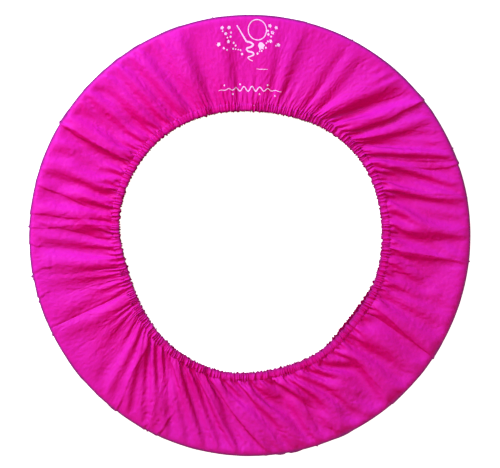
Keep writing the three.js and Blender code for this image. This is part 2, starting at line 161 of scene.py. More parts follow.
def sheet_noise(n, rows, lu, lv, rng, spread=0.35):
    """Smooth noise over a layer, of wavelengths lu along it and lv across it."""
    fu = np.fft.fftfreq(n, CLOTH_L / n)[None]
    m = 2 * rows
    fv = np.fft.fftfreq(m, V_LEN / (rows - 1))[:, None]
    q = np.sqrt((fu * lu) ** 2 + (fv * lv) ** 2)
    a = np.exp(-0.5 * ((q - 1) / spread) ** 2)
    y = np.fft.ifft2(np.fft.fft2(rng.normal(size=(m, n))) * a).real[:rows]
    return (y / y.std()).astype(np.float32)


def outer_line():
    """Angle and radial lift of the grid's columns on the outer line. Part of the strip's spare length is taken up
    in small tucks, and the rest evenly."""
    spare = min(30.0, CLOTH_L - 2 * math.pi * R_OUT)
    even = (CLOTH_L - spare) / (2 * math.pi * R_OUT)
    s = np.arange(0, CLOTH_L, 0.25)
    dens = np.full(len(s), 1 / (R_OUT * even))
    lift = np.zeros(len(s))
    total, used = sum(w for _, w, _ in TUCKS), 0.0
    for a, w, wide in TUCKS:
        e = spare * w / total
        half = (wide + 0.6 * e) / 2
        x = (s - (a * DEG * R_OUT * even + used + half)) / half
        p = np.where(np.abs(x) < 1, 0.5 * (1 + np.cos(np.pi * np.clip(x, -1, 1))), 0)
        dens -= e * p / (p.sum() * 0.25) / (R_OUT * even)
        lift += p ** 0.5 * 2.0 * w if wide > 5 else p * 2.9 * w
        used += e
    th = np.cumsum(np.maximum(dens, 0.0002)) * 0.25
    th *= 2 * math.pi / th[-1]
    u = np.arange(N_U) / N_U * CLOTH_L
    th = np.interp(u, np.r_[0, s + 0.25], np.r_[0, th])
    return th, np.interp(u, s, lift) + periodic(WAVY, th, 8.0) * np.clip(main_folds(th[None], [0.0])[0], 0, 8)


def main_folds(th, rows, turn=0.0):
    """The main folds as a height over the plain sheet, at angles th, one row of th to each fraction of rows."""
    hem = np.array([v for f in FOLDS for v in (f[0], f[2])], float) + turn
    out = np.array([v for f in FOLDS for v in (f[1], f[3])], float) + turn
    size = np.array([FOLD_SIZE[f[4]] for f in FOLDS]) * periodic(STRENGTH, np.array([f[2] for f in FOLDS]) * DEG, 6.0)
    reach = np.array([f[5] if len(f) > 5 else 0.0 for f in FOLDS])
    wax = np.random.default_rng(23).uniform(0, 2 * math.pi, (3, len(FOLDS)))
    z = np.zeros(th.shape)
    num = np.arange(len(hem))
    loose = np.exp(-(((out - turn - 268) / 28.0) ** 4))
    for i, s in enumerate(rows):
        v = s * V_LEN
        rho = RING_R + WRAP_R * math.cos(v / WRAP_R) if v < WRAP_ARC else RING_R - (v - WRAP_ARC) / (V_LEN - WRAP_ARC) * (RING_R - STITCH_R)
        q = (FOLD_OUTER_R - rho) / (FOLD_OUTER_R - FOLD_HEM_R)
        a = out + (hem - out) * (abs(q) ** 1.1 * (1 if q > 0 else -1))
        a = a + (0.12 + loose) * (0.8 * np.sin(1.9 * num + 7.0 * s) + 0.6 * np.sin(4.1 * num - 13.0 * s))
        gap = np.diff(np.r_[a, a[0] + 360])
        a = a[0] + np.r_[0, np.cumsum(np.maximum(gap, 0.4) * 360 / np.maximum(gap, 0.4).sum())[:-1]]
        r = R_OUT - s * (R_OUT - STITCH_R)
        wide = np.r_[a[2::2], a[0] + 360] - a[0::2]      # valley to valley, degrees
        top = size * np.clip(wide, 2.2, 9.0) ** 0.75 * DEG * r * 0.30 * (0.80 + 0.32 * s)
        top = top * (1 + 0.30 * np.sin(7.5 * s + wax[0]) + 0.22 * np.sin(15.0 * s + wax[1]))
        top = top * np.where(reach > 0, 0.12 + 0.88 * np.clip((s - reach) / 0.22, 0, 1), 1.0)
        level = np.empty(len(a))
        level[1::2] = top
        level[0::2] = -0.5 * (top + np.roll(top, 1))
        q = (np.degrees(th[i]) - a[0]) % 360
        edge = np.r_[a - a[0], 360]
        j = np.clip(np.searchsorted(edge, q, side="right") - 1, 0, len(a) - 1)
        x = (q - edge[j]) / (edge[j + 1] - edge[j])
        x = np.where(j % 2 == 0, x, 1 - x)               # 0 in a valley, 1 on a ridge
        k = 0.5 * (0.5 - 0.5 * np.cos(math.pi * x)) + 0.5 * np.sin(0.5 * math.pi * x)
        nxt = np.r_[level[1:], level[:1]]
        valley, ridge = np.where(j % 2 == 0, level[j], nxt[j]), np.where(j % 2 == 0, nxt[j], level[j])
        z[i] = valley + (ridge - valley) * k
    return z


def small_folds(s, side, rng):
    """The finer gathers near the hem."""
    z = np.zeros((len(s), N_U))
    for lam, a, p in ((34, 0.7, 1.5), (20, 0.8, 4), (13, 0.5, 9)):
        z += a * along_noise(N_U, lam, rng)[None] * s[:, None] ** p
    return z


def hem_line(th_in, side, rng):
    """The line of stitches: the cloth ripples up and down along it, because it is gathered."""
    r = opening_r(th_in, side) + STITCH + along_noise(N_U, 30, rng, 0.5)
    ph = np.cumsum(2 * math.pi / (10.6 * np.exp(0.28 * along_noise(N_U, 90, rng) + 0.34 * along_noise(N_U, 34, rng)))) * CLOTH_L / N_U
    ph *= round(ph[-1] / (2 * math.pi)) * 2 * math.pi / ph[-1]
    amp = np.clip(1.5 * (1 + 0.36 * along_noise(N_U, 60, rng) + 0.4 * along_noise(N_U, 24, rng)), 0.6, 3.0)
    return r, amp * np.sin(ph), ph, amp


def pull(a, b, rest, k=1.0):
    """Moves the ends of a set of threads to their rest length."""
    d = b - a
    l = np.sqrt(d[0] * d[0] + d[1] * d[1] + d[2] * d[2])
    d *= (l - rest) / l * (0.5 * k)
    a += d
    b -= d


GUIDE = {4: 0.20, 2: 0.08, 1: 0.022}  # how firmly the coarse sheets are led to the main folds


def solve_layer(side, levels, gravity=0.0, stiff=0.05, pucker=0.014, bunch=1.2, noise=0.3):
    """One layer of the cover, as a cloth grid of three coordinates, rows and columns. side is 1 for the front.
    The grid is solved coarse to fine, by position-based dynamics: threads along and across, soft diagonals,
    bending, the tube under it, and the room it has over and under."""
    rng = np.random.default_rng(7 if side > 0 else 107)
    th_o, lift = outer_line()
    th_i = th_o + 1.16 * periodic(TILT, th_o, 5.5) * DEG
    th_i = th_i + (along_noise(N_U, 150, rng, bunch) + along_noise(N_U, 60, rng, bunch * 0.35)) / STITCH_R
    r_h, z_h, ph, amp = hem_line(th_i, side, rng)
    carry = main_folds(th_i[None], [1.0], 0.0 if side > 0 else 137.0)[0]
    z_h = z_h + (0.35 + 0.42 * np.clip(carry, -1.2, 4.5) if side > 0 else -0.3 * np.clip(carry, 0, 3.0))
    zc = FRONT_HEM_Z if side > 0 else BACK_HEM_Z
    s_all = np.linspace(0, 1, N_V + 1)
    grow = 0.5 + 0.5 * np.clip((s_all * V_LEN - 4) / 46, 0, 1) ** 0.8
    start = main_folds(th_o[None] * (1 - s_all[:, None]) + th_i[None] * s_all[:, None], s_all, 0.0 if side > 0 else 137.0)
    start = side * start * grow[:, None]
    start[-1] *= 0.35
    start[-2] *= 0.65
    start += small_folds(s_all, side, rng)
    broad = sheet_noise(N_U, N_V + 1, 150, 300, rng, 0.5) + 0.6 * sheet_noise(N_U, N_V + 1, 70, 110, rng, 0.45)
    start += (3.1 if side > 0 else 1.3) * periodic(BROAD, th_o, 10.0)[None] * broad * (np.clip((s_all * V_LEN - 14) / 50, 0, 1) * np.clip((1 - s_all) / 0.25, 0, 1))[:, None]
    start = start.astype(np.float32)
    wu = 1 + pucker * (sheet_noise(N_U, N_V + 1, 30, 60, rng) + 0.9 * sheet_noise(N_U, N_V + 1, 14, 22, rng))
    wv = 1 + pucker * 0.7 * (sheet_noise(N_U, N_V + 1, 30, 60, rng) + 0.9 * sheet_noise(N_U, N_V + 1, 16, 16, rng))
    wv = wv * (1 + 0.022 * np.clip(side * start / 5, 0, 1.5) * np.clip(1.6 - s_all * V_LEN / 30, 0, 1)[:, None])
    X = None
    for number, (f, steps) in enumerate(levels):
        n, nv = N_U // f, N_V // f
        to, ti, rh = th_o[::f], th_i[::f], r_h[::f]
        s = np.linspace(0, 1, nv + 1)
        v = s * V_LEN
        du, dv = CLOTH_L / n, V_LEN / nv
        on_tube = v < WRAP_ARC
        ang = np.clip(v / WRAP_R, 0, math.pi / 2)
        t = np.clip((v - WRAP_ARC) / (V_LEN - WRAP_ARC), 0, 1)
        th = to[None] * (1 - s[:, None]) + ti[None] * s[:, None]
        R = np.where(on_tube[:, None], (RING_R + WRAP_R * np.cos(ang))[:, None], RING_R - t[:, None] * (RING_R - rh[None]))
        R = R + lift[::f][None] * np.clip(1 - v / 26.0, 0, 1)[:, None] * np.cos(np.clip(ang, 0, 1.4))[:, None]
        Z = side * np.where(on_tube, WRAP_R * np.sin(ang), WRAP_R + t * (side * zc - WRAP_R))
        base = np.stack([R * np.cos(th), R * np.sin(th), np.repeat(Z[:, None], n, 1)]).astype(np.float32)
        if X is None:
            X = base.copy()
            X[2] += start[::f, ::f] * np.clip(v / 14, 0, 1)[:, None]
        else:  # refine the coarser grid
            Y = np.zeros((3, X.shape[1], n), np.float32)
            Y[:, :, ::2] = X
            Y[:, :, 1::2] = (9 * (X + np.roll(X, -1, 2)) - (np.roll(X, 1, 2) + np.roll(X, -2, 2))) / 16
            X = np.zeros((3, nv + 1, n), np.float32)
            X[:, ::2] = Y
            before = np.concatenate([2 * Y[:, :1] - Y[:, 1:2], Y[:, :-2]], 1)
            after = np.concatenate([Y[:, 2:], 2 * Y[:, -1:] - Y[:, -2:-1]], 1)
            X[:, 1::2] = (9 * (Y[:, :-1] + Y[:, 1:]) - (before + after)) / 16
            q = rng.normal(size=(nv + 1, n)).astype(np.float32)
            q = sum(w / 9 * np.roll(q, o, 1) for w, o in zip((1, 2, 3, 2, 1), range(-2, 3)))
            q = np.cumsum(q, 0) / np.sqrt(np.arange(1, nv + 2))[:, None]
            X[2] += q * noise * (1.0 if number == 1 else 0.35) * (s[:, None] ** 1.5)
        hem = zc + (z_h if f == 1 else 0)
        free = 1 - (1 - t) ** 6  # 0 on the tube, 1 away from it
        if side > 0:
            lo = np.where(on_tube | (v < WRAP_ARC + 11), -99, -0.5)[:, None].astype(np.float32)
            hi = np.full((nv + 1, 1), 17.5, np.float32)
        else:
            lo = np.full((nv + 1, 1), FLOOR_Z + 0.05, np.float32)
            hi = np.where(on_tube | (v < WRAP_ARC + 11), 99, -1.6)[:, None].astype(np.float32)
        step_th = np.diff(np.concatenate([th, th[:, :1] + 2 * math.pi], 1), axis=1)
        spare = 0.05 * periodic(STRENGTH, to, 6.0)[None] ** 1.5 + GATHER * periodic(FULL, to, 6.0)[None] * t[:, None] ** 1.9
        ru = (R * step_th * (1 + spare) * wu[::f, ::f]).astype(np.float32)
        rv = (dv * wv[:-1:f, ::f]).astype(np.float32)
        rd = np.hypot(0.5 * (ru[:-1] + ru[1:]), rv).astype(np.float32)
        kb = max(stiff / (1.0 if f == 1 else 4.0 if f == 2 else 16.0), 0.002)
        near = int(min(nv, (WRAP_ARC + 14) / dv + 2))
        vel = np.zeros_like(X)
        goal = (base[2] + start[::f, ::f]).astype(np.float32)
        lead = (np.clip((v - 6) / 14, 0, 1) * GUIDE[f])[:, None].astype(np.float32)

        def hold():
            X[:, 0] = base[:, 0]
            X[:, -1] = base[:, -1]
            X[2, -1] = hem

        hold()
        for step in range(steps):
            X[2] += lead * (goal - X[2])
            vel *= 0.97
            vel[2] -= gravity * f
            was = X.copy()
            X += vel
            for again in range(2):
                pull(X[:, 1:-1, 0::2], X[:, 1:-1, 1::2], ru[1:-1, 0::2])
                pull(X[:, 1:-1, 1:-1:2], X[:, 1:-1, 2::2], ru[1:-1, 1:-1:2])
                pull(X[:, 1:-1, -1], X[:, 1:-1, 0], ru[1:-1, -1])
                pull(X[:, 1:-1:2], X[:, 2::2], rv[1::2])
                pull(X[:, 0:-1:2], X[:, 1::2], rv[0::2])
                hold()
            for o in (0, 1):
                d = rd[o::2]
                pull(X[:, o:-1:2, :-1], X[:, o + 1 :: 2, 1:], d[:, :-1], 0.35)
                pull(X[:, o:-1:2, -1], X[:, o + 1 :: 2, 0], d[:, -1], 0.35)
                pull(X[:, o:-1:2, 1:], X[:, o + 1 :: 2, :-1], d[:, :-1], 0.35)
                pull(X[:, o:-1:2, 0], X[:, o + 1 :: 2, -1], d[:, -1], 0.35)
            c = np.roll(X, 1, 2) + np.roll(X, -1, 2) - 2 * X
            X -= kb * (np.roll(c, 1, 2) + np.roll(c, -1, 2) - 2 * c)
            c = X[:, :-2] + X[:, 2:] - 2 * X[:, 1:-1]
            X[:, 1:-1] += 2 * kb * c
            X[:, :-2] -= kb * c
            X[:, 2:] -= kb * c
            hold()
            T = X[:, :near]
            rho = np.sqrt(T[0] ** 2 + T[1] ** 2)
            q = rho - RING_R
            d = np.sqrt(q * q + T[2] ** 2)
            m = np.where(d < WRAP_R, WRAP_R / np.maximum(d, 1e-3), 1.0)
            T[:2] *= (RING_R + q * m) / rho
            T[2] *= m
            np.clip(X[2], lo, hi, out=X[2])
            vel = X - was
            speed = np.sqrt((vel**2).sum(0))
            vel *= np.minimum(1, 0.6 * f / np.maximum(speed, 1e-6))
    return X.astype(float), {"side": side, "th_o": th_o, "th_i": th_i, "r_h": r_h, "ph": ph, "amp": amp, "zc": zc, "carry": carry}


levels = ((4, 260), (2, 260), (1, 420))
with ThreadPoolExecutor(2) as pool:
    jobs = [pool.submit(solve_layer, side, levels) for side in (1, -1)]
    (front, fi), (back, bi) = [j.result() for j in jobs]

# The two lengths of cloth meet at the cross seams, where the cloth dips between them.
seam_col = {k: int(np.argmin(np.abs((fi["th_o"] - a * DEG + math.pi) % (2 * math.pi) - math.pi))) for k, a in SEAMS.items()}


def normals_of(X):
    du = np.roll(X, -1, 2) - np.roll(X, 1, 2)
    dv = np.gradient(X, axis=1)
    n = np.cross(du, dv, axis=0)
    return n / (np.linalg.norm(n, axis=0) + 1e-12)


def dip_seams(X, side):
    n = normals_of(X) * side
    for word, c in seam_col.items():
        deep = 0.25 if side < 0 else 0.6 if word == "right" else 1.25
        for o, d in ((-4, -0.2), (-3, -0.3), (-2, -0.25), (-1, 0.35), (0, 0.85), (1, 0.35), (2, 0.1)):
            X[:, 1:, (c + o) % N_U] -= n[:, 1:, (c + o) % N_U] * d * deep
    return X


def more_rows(X):
    """One more row between each two, on a smooth curve."""
    Z = np.zeros((3, 2 * X.shape[1] - 1, X.shape[2]))
    Z[:, ::2] = X
    before = np.concatenate([2 * X[:, :1] - X[:, 1:2], X[:, :-2]], 1)
    after = np.concatenate([X[:, 2:], 2 * X[:, -1:] - X[:, -2:-1]], 1)
    Z[:, 1::2] = (9 * (X[:, :-1] + X[:, 1:]) - (before + after)) / 16
    return Z


def crumple(X, side, count, seed):
    """Short soft wrinkles of a thin cloth that has been folded and handled."""
    rng = np.random.default_rng(seed)
    n = normals_of(X)
    n *= np.where(n[2] * side < 0, -1, 1)
    rows = X.shape[1]
    move = 0.17 * (1 - 1.6 * np.abs(sheet_noise(N_U, rows, 17, 26, rng, 0.45)))
    move += 0.09 * (1 - 1.6 * np.abs(sheet_noise(N_U, rows, 8.5, 12, rng, 0.5)))
    for number in range(count):
        a, rho = rng.uniform(0, 360), rng.uniform(276, 414)
        if number % 5 == 0:  # the most handled part, low on the ring
            a = rng.uniform(234, 303)
        slant = np.interp(a, [0, 30, 60, 90, 150, 200, 230, 265, 300, 360], [-10, -38, -34, -4, 0, 4, 18, 42, 22, -10])
        b = (a + slant * (0.6 if rho > 380 else 1.0) + rng.normal() * 24) * DEG
        half, wide, deep = rng.uniform(5, 22), rng.uniform(1.5, 3.2), rng.uniform(0.2, 0.75) * rng.choice([-0.6, 1])
        if 234 < a < 303:
            deep *= 1.55
            if number % 20 == 0:  # a dent
                half, wide, deep, rho = rng.uniform(3, 6), rng.uniform(2.2, 3.6), 1.5, rng.uniform(350, 402)
        cx, cy = rho * math.cos(a * DEG), rho * math.sin(a * DEG)
        dx, dy = X[0] - cx, X[1] - cy
        near = (np.abs(dx) < 26) & (np.abs(dy) < 26)
        dx, dy = dx[near], dy[near]
        along, across = dx * math.cos(b) + dy * math.sin(b), -dx * math.sin(b) + dy * math.cos(b)
        across = across + 0.9 * np.sin(along / 7 + cx)
        fade = np.clip(1 - (along / half) ** 2, 0, 1)
        move[near] -= deep * fade * (np.exp(-((across / wide) ** 2)) - 0.35 * np.exp(-((across / (2.6 * wide)) ** 2)))
    ends = np.linspace(0, 1, rows)
    for lam, size, power in ((15, 0.42, 9), (9, 0.42, 15), (6, 0.22, 22)):
        move += size * along_noise(N_U, lam, rng)[None] * (ends**power)[:, None] * (1 + 0.5 * sheet_noise(N_U, rows, 60, 20, rng))
    move *= (np.clip(ends / 0.06, 0, 1) * np.clip((1 - ends) / 0.04, 0, 1))[:, None]
    return X + n * move


def press_creases(X, info):
    """Sharp lines where the cloth was folded in its packing."""
    n = normals_of(X)
    n *= np.where(n[2] < 0, -1, 1)
    th = np.degrees(np.arctan2(X[1], X[0]))
    rho = np.hypot(X[0], X[1])
    s = np.clip((R_OUT - rho) / (R_OUT - info["r_h"][None]), 0, 1)
    move = np.zeros(th.shape)
    for k, (a0, a1, s0, s1, depth) in enumerate(CREASES):
        q = np.clip((s - s0) / (s1 - s0), 0, 1)
        line = a0 + (a1 - a0) * q ** (1.8 if 15 < a0 < 60 else 1.15) + 0.22 * np.sin(9 * q + 2.3 * k)
        d = ((th - line + 180) % 360 - 180) * DEG * rho
        on = np.clip((s - s0) / 0.06 + 1, 0, 1) * np.clip((s1 - s) / 0.12 + 0.5, 0, 1)
        on = on * (0.75 + 0.25 * np.sin(14 * q + 1.7 * k))
        if depth < 0:
            move -= depth * on * (np.exp(-((d / 1.9) ** 2)) - 0.4 * np.exp(-((d / 5.5) ** 2)))
        else:  # one side laps a little over the other, towards the lower right
            x = d if 118 < a0 % 360 < 298 else -d
            lap = np.where(x < 0, np.exp(np.clip(x, -60, 0) / 7), -0.45 + 0.725 * (1 + np.cos(math.pi * np.clip(x, 0, 2.6) / 2.6)))
            lap = np.where(x > 2.6, -0.45 * np.exp(-np.clip(x - 2.6, 0, 60) / 6), lap)
            move += 1.15 * depth * on * lap
    return X + n * move


TILT_HEM = [(f[2], f[2] - f[3]) for f in FOLDS]


def pinch_list(count, seed):
    """The sharp little tucks that the gathering pinches in at the stitches: angle, reach out and reach in, width,
    depth, and slant in degrees to the millimetre outwards."""
    rng = np.random.default_rng(seed)
    full = periodic(FULL, np.arange(360) * DEG, 6.0)
    tilt = periodic(TILT_HEM, np.arange(360) * DEG, 5.5)
    pins = []
    while len(pins) < count:
        a, keep = rng.uniform(0, 360), rng.uniform()
        f = full[int(a)]
        if keep > 0.3 + 0.65 * f:
            continue
        slant = -1.35 * tilt[int(a)] / (FOLD_OUTER_R - FOLD_HEM_R) + rng.normal() * 0.035
        pins.append((a, 3.5 + rng.exponential(9.0), rng.uniform(4, 16), rng.uniform(1.2, 2.1), rng.uniform(0.35, 1.25) * (0.55 + 0.45 * f), slant))
    return pins


def grooves(x, y, pins, side):
    """How deep the pinched tucks are at points x, y."""
    th, rho = np.degrees(np.arctan2(y, x)), np.hypot(x, y)
    out = rho - opening_r(th * DEG, side) - STITCH
    deep = np.zeros(th.shape)
    sel = np.nonzero(out < 45)
    t, r, o, total = th[sel], rho[sel], out[sel], 0.0
    for a, far, inn, wide, depth, slant in pins:
        d = ((t - a - slant * np.where(o > 0, o, 0.6 * o) + 180) % 360 - 180) * DEG * r
        fade = np.where(o > 0, np.clip(1 - o / far, 0, 1) ** 0.8, np.clip(1 + o / inn, 0, 1) ** 0.6)
        total = total + depth * fade * (np.exp(-((d / wide) ** 2)) - 0.35 * np.exp(-((d / (2.4 * wide)) ** 2)))
    deep[sel] = total
    return deep


def pinch(X, side, pins):
    n = normals_of(X)
    n *= np.where(n[2] * side < 0, -1, 1)
    return X - n * grooves(X[0], X[1], pins, side)


front_pins, back_pins = pinch_list(230, 81), pinch_list(170, 82)
front = pinch(crumple(press_creases(more_rows(front), fi), 1, 620, 71), 1, front_pins)
back = pinch(crumple(back, -1, 260, 72), -1, back_pins)
F_ROWS = front.shape[1] - 1
front = dip_seams(front, 1)
back = dip_seams(back, -1)
back[2] = np.maximum(back[2], FLOOR_Z + 0.02)


# ---- meshes -------------------------------------------------------------------------------------------------
def make_mesh(name, verts, faces, uv=None, smooth=True):
    """A mesh object from points in millimetres, faces of equal size and one uv per point."""
    verts = np.asarray(verts, np.float32) * MM
    faces = np.asarray(faces, np.int32)
    me = bpy.data.meshes.new(name)
    me.vertices.add(len(verts))
    me.vertices.foreach_set("co", verts.ravel())
    k = faces.shape[1]
    me.loops.add(faces.size)
    me.loops.foreach_set("vertex_index", faces.ravel())
    me.polygons.add(len(faces))
    me.polygons.foreach_set("loop_start", np.arange(0, faces.size, k, dtype=np.int32))
    me.polygons.foreach_set("loop_total", np.full(len(faces), k, np.int32))
    if uv is not None:
        layer = me.uv_layers.new(name="cloth")
        layer.data.foreach_set("uv", np.asarray(uv, np.float32)[faces.ravel()].ravel())
    me.update(calc_edges=True)
    me.validate()
    me.polygons.foreach_set("use_smooth", np.full(len(me.polygons), smooth))
    ob = bpy.data.objects.new(name, me)
    bpy.context.scene.collection.objects.link(ob)
    return ob


def grid_faces(rows, cols, close_cols=False, close_rows=False, flip=False):
    r = np.arange(rows if close_rows else rows - 1)[:, None]
    c = np.arange(cols if close_cols else cols - 1)[None]
    r2, c2 = (r + 1) % rows, (c + 1) % cols
    f = np.stack([r * cols + c, r * cols + c2, r2 * cols + c2, r2 * cols + c], -1).reshape(-1, 4)
    return f[:, ::-1] if flip else f


def columns(a, b, n):
    """Column numbers from a to b, going up and round."""
    return np.arange(a, b + 1 if b > a else b + n + 1) % n


back_rows = np.r_[np.arange(1, 8, 2), np.arange(9, N_V, 2), N_V]
front_rows = np.r_[np.arange(0, 16, 2), np.arange(16, F_ROWS + 1)]
section = np.concatenate([back[:, back_rows[::-1]], front[:, front_rows]], 1)  # back hem, outer line, front hem
v_of = np.r_[-back_rows[::-1] / N_V, front_rows / F_ROWS] * V_LEN
u_of = np.arange(N_U) / N_U * CLOTH_L
strips = {
    "cover_upper_cloth": ("cover_upper_strip", columns(seam_col["right"], seam_col["left"], N_U)),
    "cover_lower_cloth": ("cover_lower_strip", columns(seam_col["left"], seam_col["right"], N_U)),
}
cloth_objects = {}
for name, (node, cols) in strips.items():
    X = section[:, :, cols]
    uu = u_of[cols].copy()
    uu[uu < uu[0]] += CLOTH_L
    uv = np.stack(np.broadcast_arrays(uu[None], v_of[:, None]), -1).reshape(-1, 2) * MM
    ob = make_mesh(name, X.reshape(3, -1).T, grid_faces(X.shape[1], X.shape[2]), uv)
    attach(ob, "cover")
    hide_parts(node)
    cloth_objects[name] = ob


# ---- casings ------------------------------------------------------------------------------------------------
def double(y, wrap=0.0):
    """Values of the grid's columns, with one more between each two."""
    out = np.zeros(y.shape[:-1] + (2 * y.shape[-1],))
    nxt = np.roll(y, -1, -1)
    if wrap:
        nxt = nxt.copy()
        nxt[..., -1] += wrap
    out[..., ::2] = y
    out[..., 1::2] = (y + nxt) / 2
    return out


def casing(side, sheet, info, seed, pins):
    """The turned and stitched hem round the elastic: rows from the stitches in to the fold and back underneath."""
    rng = np.random.default_rng(seed)
    n = 2 * N_U
    st = double(sheet[:, -1])
    th = double(info["th_i"], 2 * math.pi)
    ph = double(info["ph"], round(info["ph"][-1] / (2 * math.pi)) * 2 * math.pi)
    calm = periodic(CALM, th, 9.0)
    amp = double(info["amp"]) * calm
    zc = info["zc"]
    r_st = np.hypot(st[0], st[1])
    lean = along_noise(n, 70, rng, 0.8) + along_noise(n, 26, rng, 0.5)
    r_f = opening_r(th, side) + along_noise(n, 24, rng, 0.5) + along_noise(n, 9, rng, 0.3) + 0.75 * np.sin(ph + 0.9 + lean) * np.clip(amp, 0.6, 2)
    z_st = st[2] - zc
    carry = double(info["carry"])
    z_f = 0.55 * amp * np.sin(ph + 1.1 + lean) + side * 0.22 * np.clip(carry, -1, 4.5)
    rows = []
    top = np.array([0, 0.07, 0.18, 0.32, 0.47, 0.62, 0.76, 0.88, 0.96, 1.0])
    low = np.array([0.96, 0.86, 0.7, 0.5, 0.3, 0.12, 0.02])
    small = along_noise(n, 15, rng, 0.34)
    fine = along_noise(n, 7.0, rng, 0.34) * (1 + 0.6 * along_noise(n, 45, rng)) * (2.6 - 1.6 * calm)
    for ply, ws in ((1, top), (-1, low)):
        for w in ws:
            dome = math.sin(math.pi * min(max(w, 0), 1) ** 0.85) ** 0.6 if 0 < w < 1 else 0.0
            wave = 0.5 + 0.5 * np.sin(ph + lean * w * 1.3 + (0.0 if ply > 0 else 2.2))
            lift = dome * (1.05 + (0.72 * amp * wave if ply > 0 else 0.5 * amp * wave) + small + fine * (1 - 0.4 * w))
            z = z_st * (1 - w) + z_f * w + ply * side * lift
            r = r_st + (r_f - r_st) * w
            if ply > 0 and w > 0:
                z = z - side * grooves(r * np.cos(th), r * np.sin(th), pins, side)
            if 0.1 < w < 0.9:  # clear of the elastic
                lapped = np.exp(-(((np.degrees(th) + 60 + 180) % 360 - 180) / 2.2) ** 4)
                q, least = ply * side * z, (0.85 + 1.0 * lapped) * min(1.0, (w - 0.02) / 0.16, (0.98 - w) / 0.16)
                z = ply * side * 0.5 * (q + least + np.sqrt((q - least) ** 2 + 0.16))
            if ply < 0 and w < 0.1:
                z = z - side * 0.35
            a = th + (0.95 * np.cos(ph + lean * w * 1.3) * amp * 0.5 * dome + 0.5 * dome * along_noise(n, 40, rng, 0.5)) / 258.0
            rows.append(np.stack([r * np.cos(a), r * np.sin(a), zc + z]))
    rows[0] = st
    C = np.stack(rows, 1)
    C[2] = np.maximum(C[2], FLOOR_Z + 0.02)
    return C


front_casing = casing(1, front, fi, 31, front_pins)
back_casing = casing(-1, back, bi, 32, back_pins)
for side, C in ((1, front_casing), (-1, back_casing)):
    word = "front" if side > 0 else "back"
    w_of = np.linspace(0, 2 * STITCH, C.shape[1])
    for part, a, b in (("upper", "right", "left"), ("lower", "left", "right")):
        cols = columns(2 * seam_col[a], 2 * seam_col[b], 2 * N_U)
        X = C[:, :, cols]
        uu = (np.arange(2 * N_U) / 2 / N_U * CLOTH_L)[cols].copy()
        uu[uu < uu[0]] += CLOTH_L
        uv = np.stack(np.broadcast_arrays(uu[None], (V_LEN + w_of)[:, None] * side), -1).reshape(-1, 2) * MM
        ob = make_mesh(f"{word}_casing_{part}", X.reshape(3, -1).T, grid_faces(X.shape[1], X.shape[2], flip=side < 0), uv)
        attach(ob, "cover")
        cloth_objects[ob.name] = ob


# ---- stitches -----------------------------------------------------------------------------------------------
def stitches(name, starts, ends, ups, radius=0.3):
    """Short stitches of thread from start to end, standing on the cloth."""
    starts, ends, ups = (np.asarray(x, float) for x in (starts, ends, ups))
    d = ends - starts
    l = np.linalg.norm(d, axis=1, keepdims=True)
    d = d / np.maximum(l, 1e-6)
    side = np.cross(ups, d)
    side /= np.linalg.norm(side, axis=1, keepdims=True) + 1e-9
    up = np.cross(d, side)
    t = np.array([0, 0.12, 0.3, 0.5, 0.7, 0.88, 1.0])
    w = np.array([0.35, 0.8, 1.0, 1.05, 1.0, 0.8, 0.35])
    h = np.array([-0.9, -0.1, 0.55, 0.7, 0.55, -0.1, -0.9]) * radius
    k = 6
    ring = np.arange(k) / k * 2 * math.pi
    P = (
        starts[:, None, None] + d[:, None, None] * (t * 1.0)[None, :, None, None] * l[:, None, None]
        + up[:, None, None] * h[None, :, None, None]
        + side[:, None, None] * (np.cos(ring)[None, None, :, None] * w[None, :, None, None] * radius)
        + up[:, None, None] * (np.sin(ring)[None, None, :, None] * w[None, :, None, None] * radius)
    )
    m = len(starts)
    P = P.reshape(m, len(t) * k, 3)
    f = grid_faces(len(t), k, close_cols=True)
    faces = (np.arange(m)[:, None, None] * len(t) * k + f[None]).reshape(-1, 4)
    caps = []
    for base in (0, (len(t) - 1) * k):
        q = np.arange(m)[:, None] * len(t) * k + base
        for tri in ((0, 1, 2, 3), (0, 3, 4, 5)):
            order = tri[::-1] if base == 0 else tri
            caps.append(q + np.array(order)[None])
    return make_mesh(name, P.reshape(-1, 3), np.concatenate([faces] + caps))


def at_u(row, u):
    """Point on a row of the grid at length u along the strip."""
    n = row.shape[-1]
    x = (u / CLOTH_L * n) % n
    i = np.floor(x).astype(int)
    f = x - i
    return row[:, i % n] * (1 - f) + row[:, (i + 1) % n] * f


def hem_stitches(name, side, C, node):
    rowA, rowB = C[:, 0], C[:, 1]
    m = int(CLOTH_L / 3.4)
    u = np.arange(m) / m * CLOTH_L
    inset = 0.6
    line = rowA * (1 - inset) + rowB * inset
    a, b = at_u(line, u).T, at_u(line, u + 2.5).T
    across = (at_u(rowB, u + 1.2) - at_u(rowA, u + 1.2)).T
    up = np.cross(b - a, across)
    up *= np.sign(up[:, 2:3]) * side
    up /= np.linalg.norm(up, axis=1, keepdims=True) + 1e-9
    ob = stitches(name, a + up * 0.15, b + up * 0.15, up, 0.26)
    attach(ob, "cover")
    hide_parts(node)
    return ob


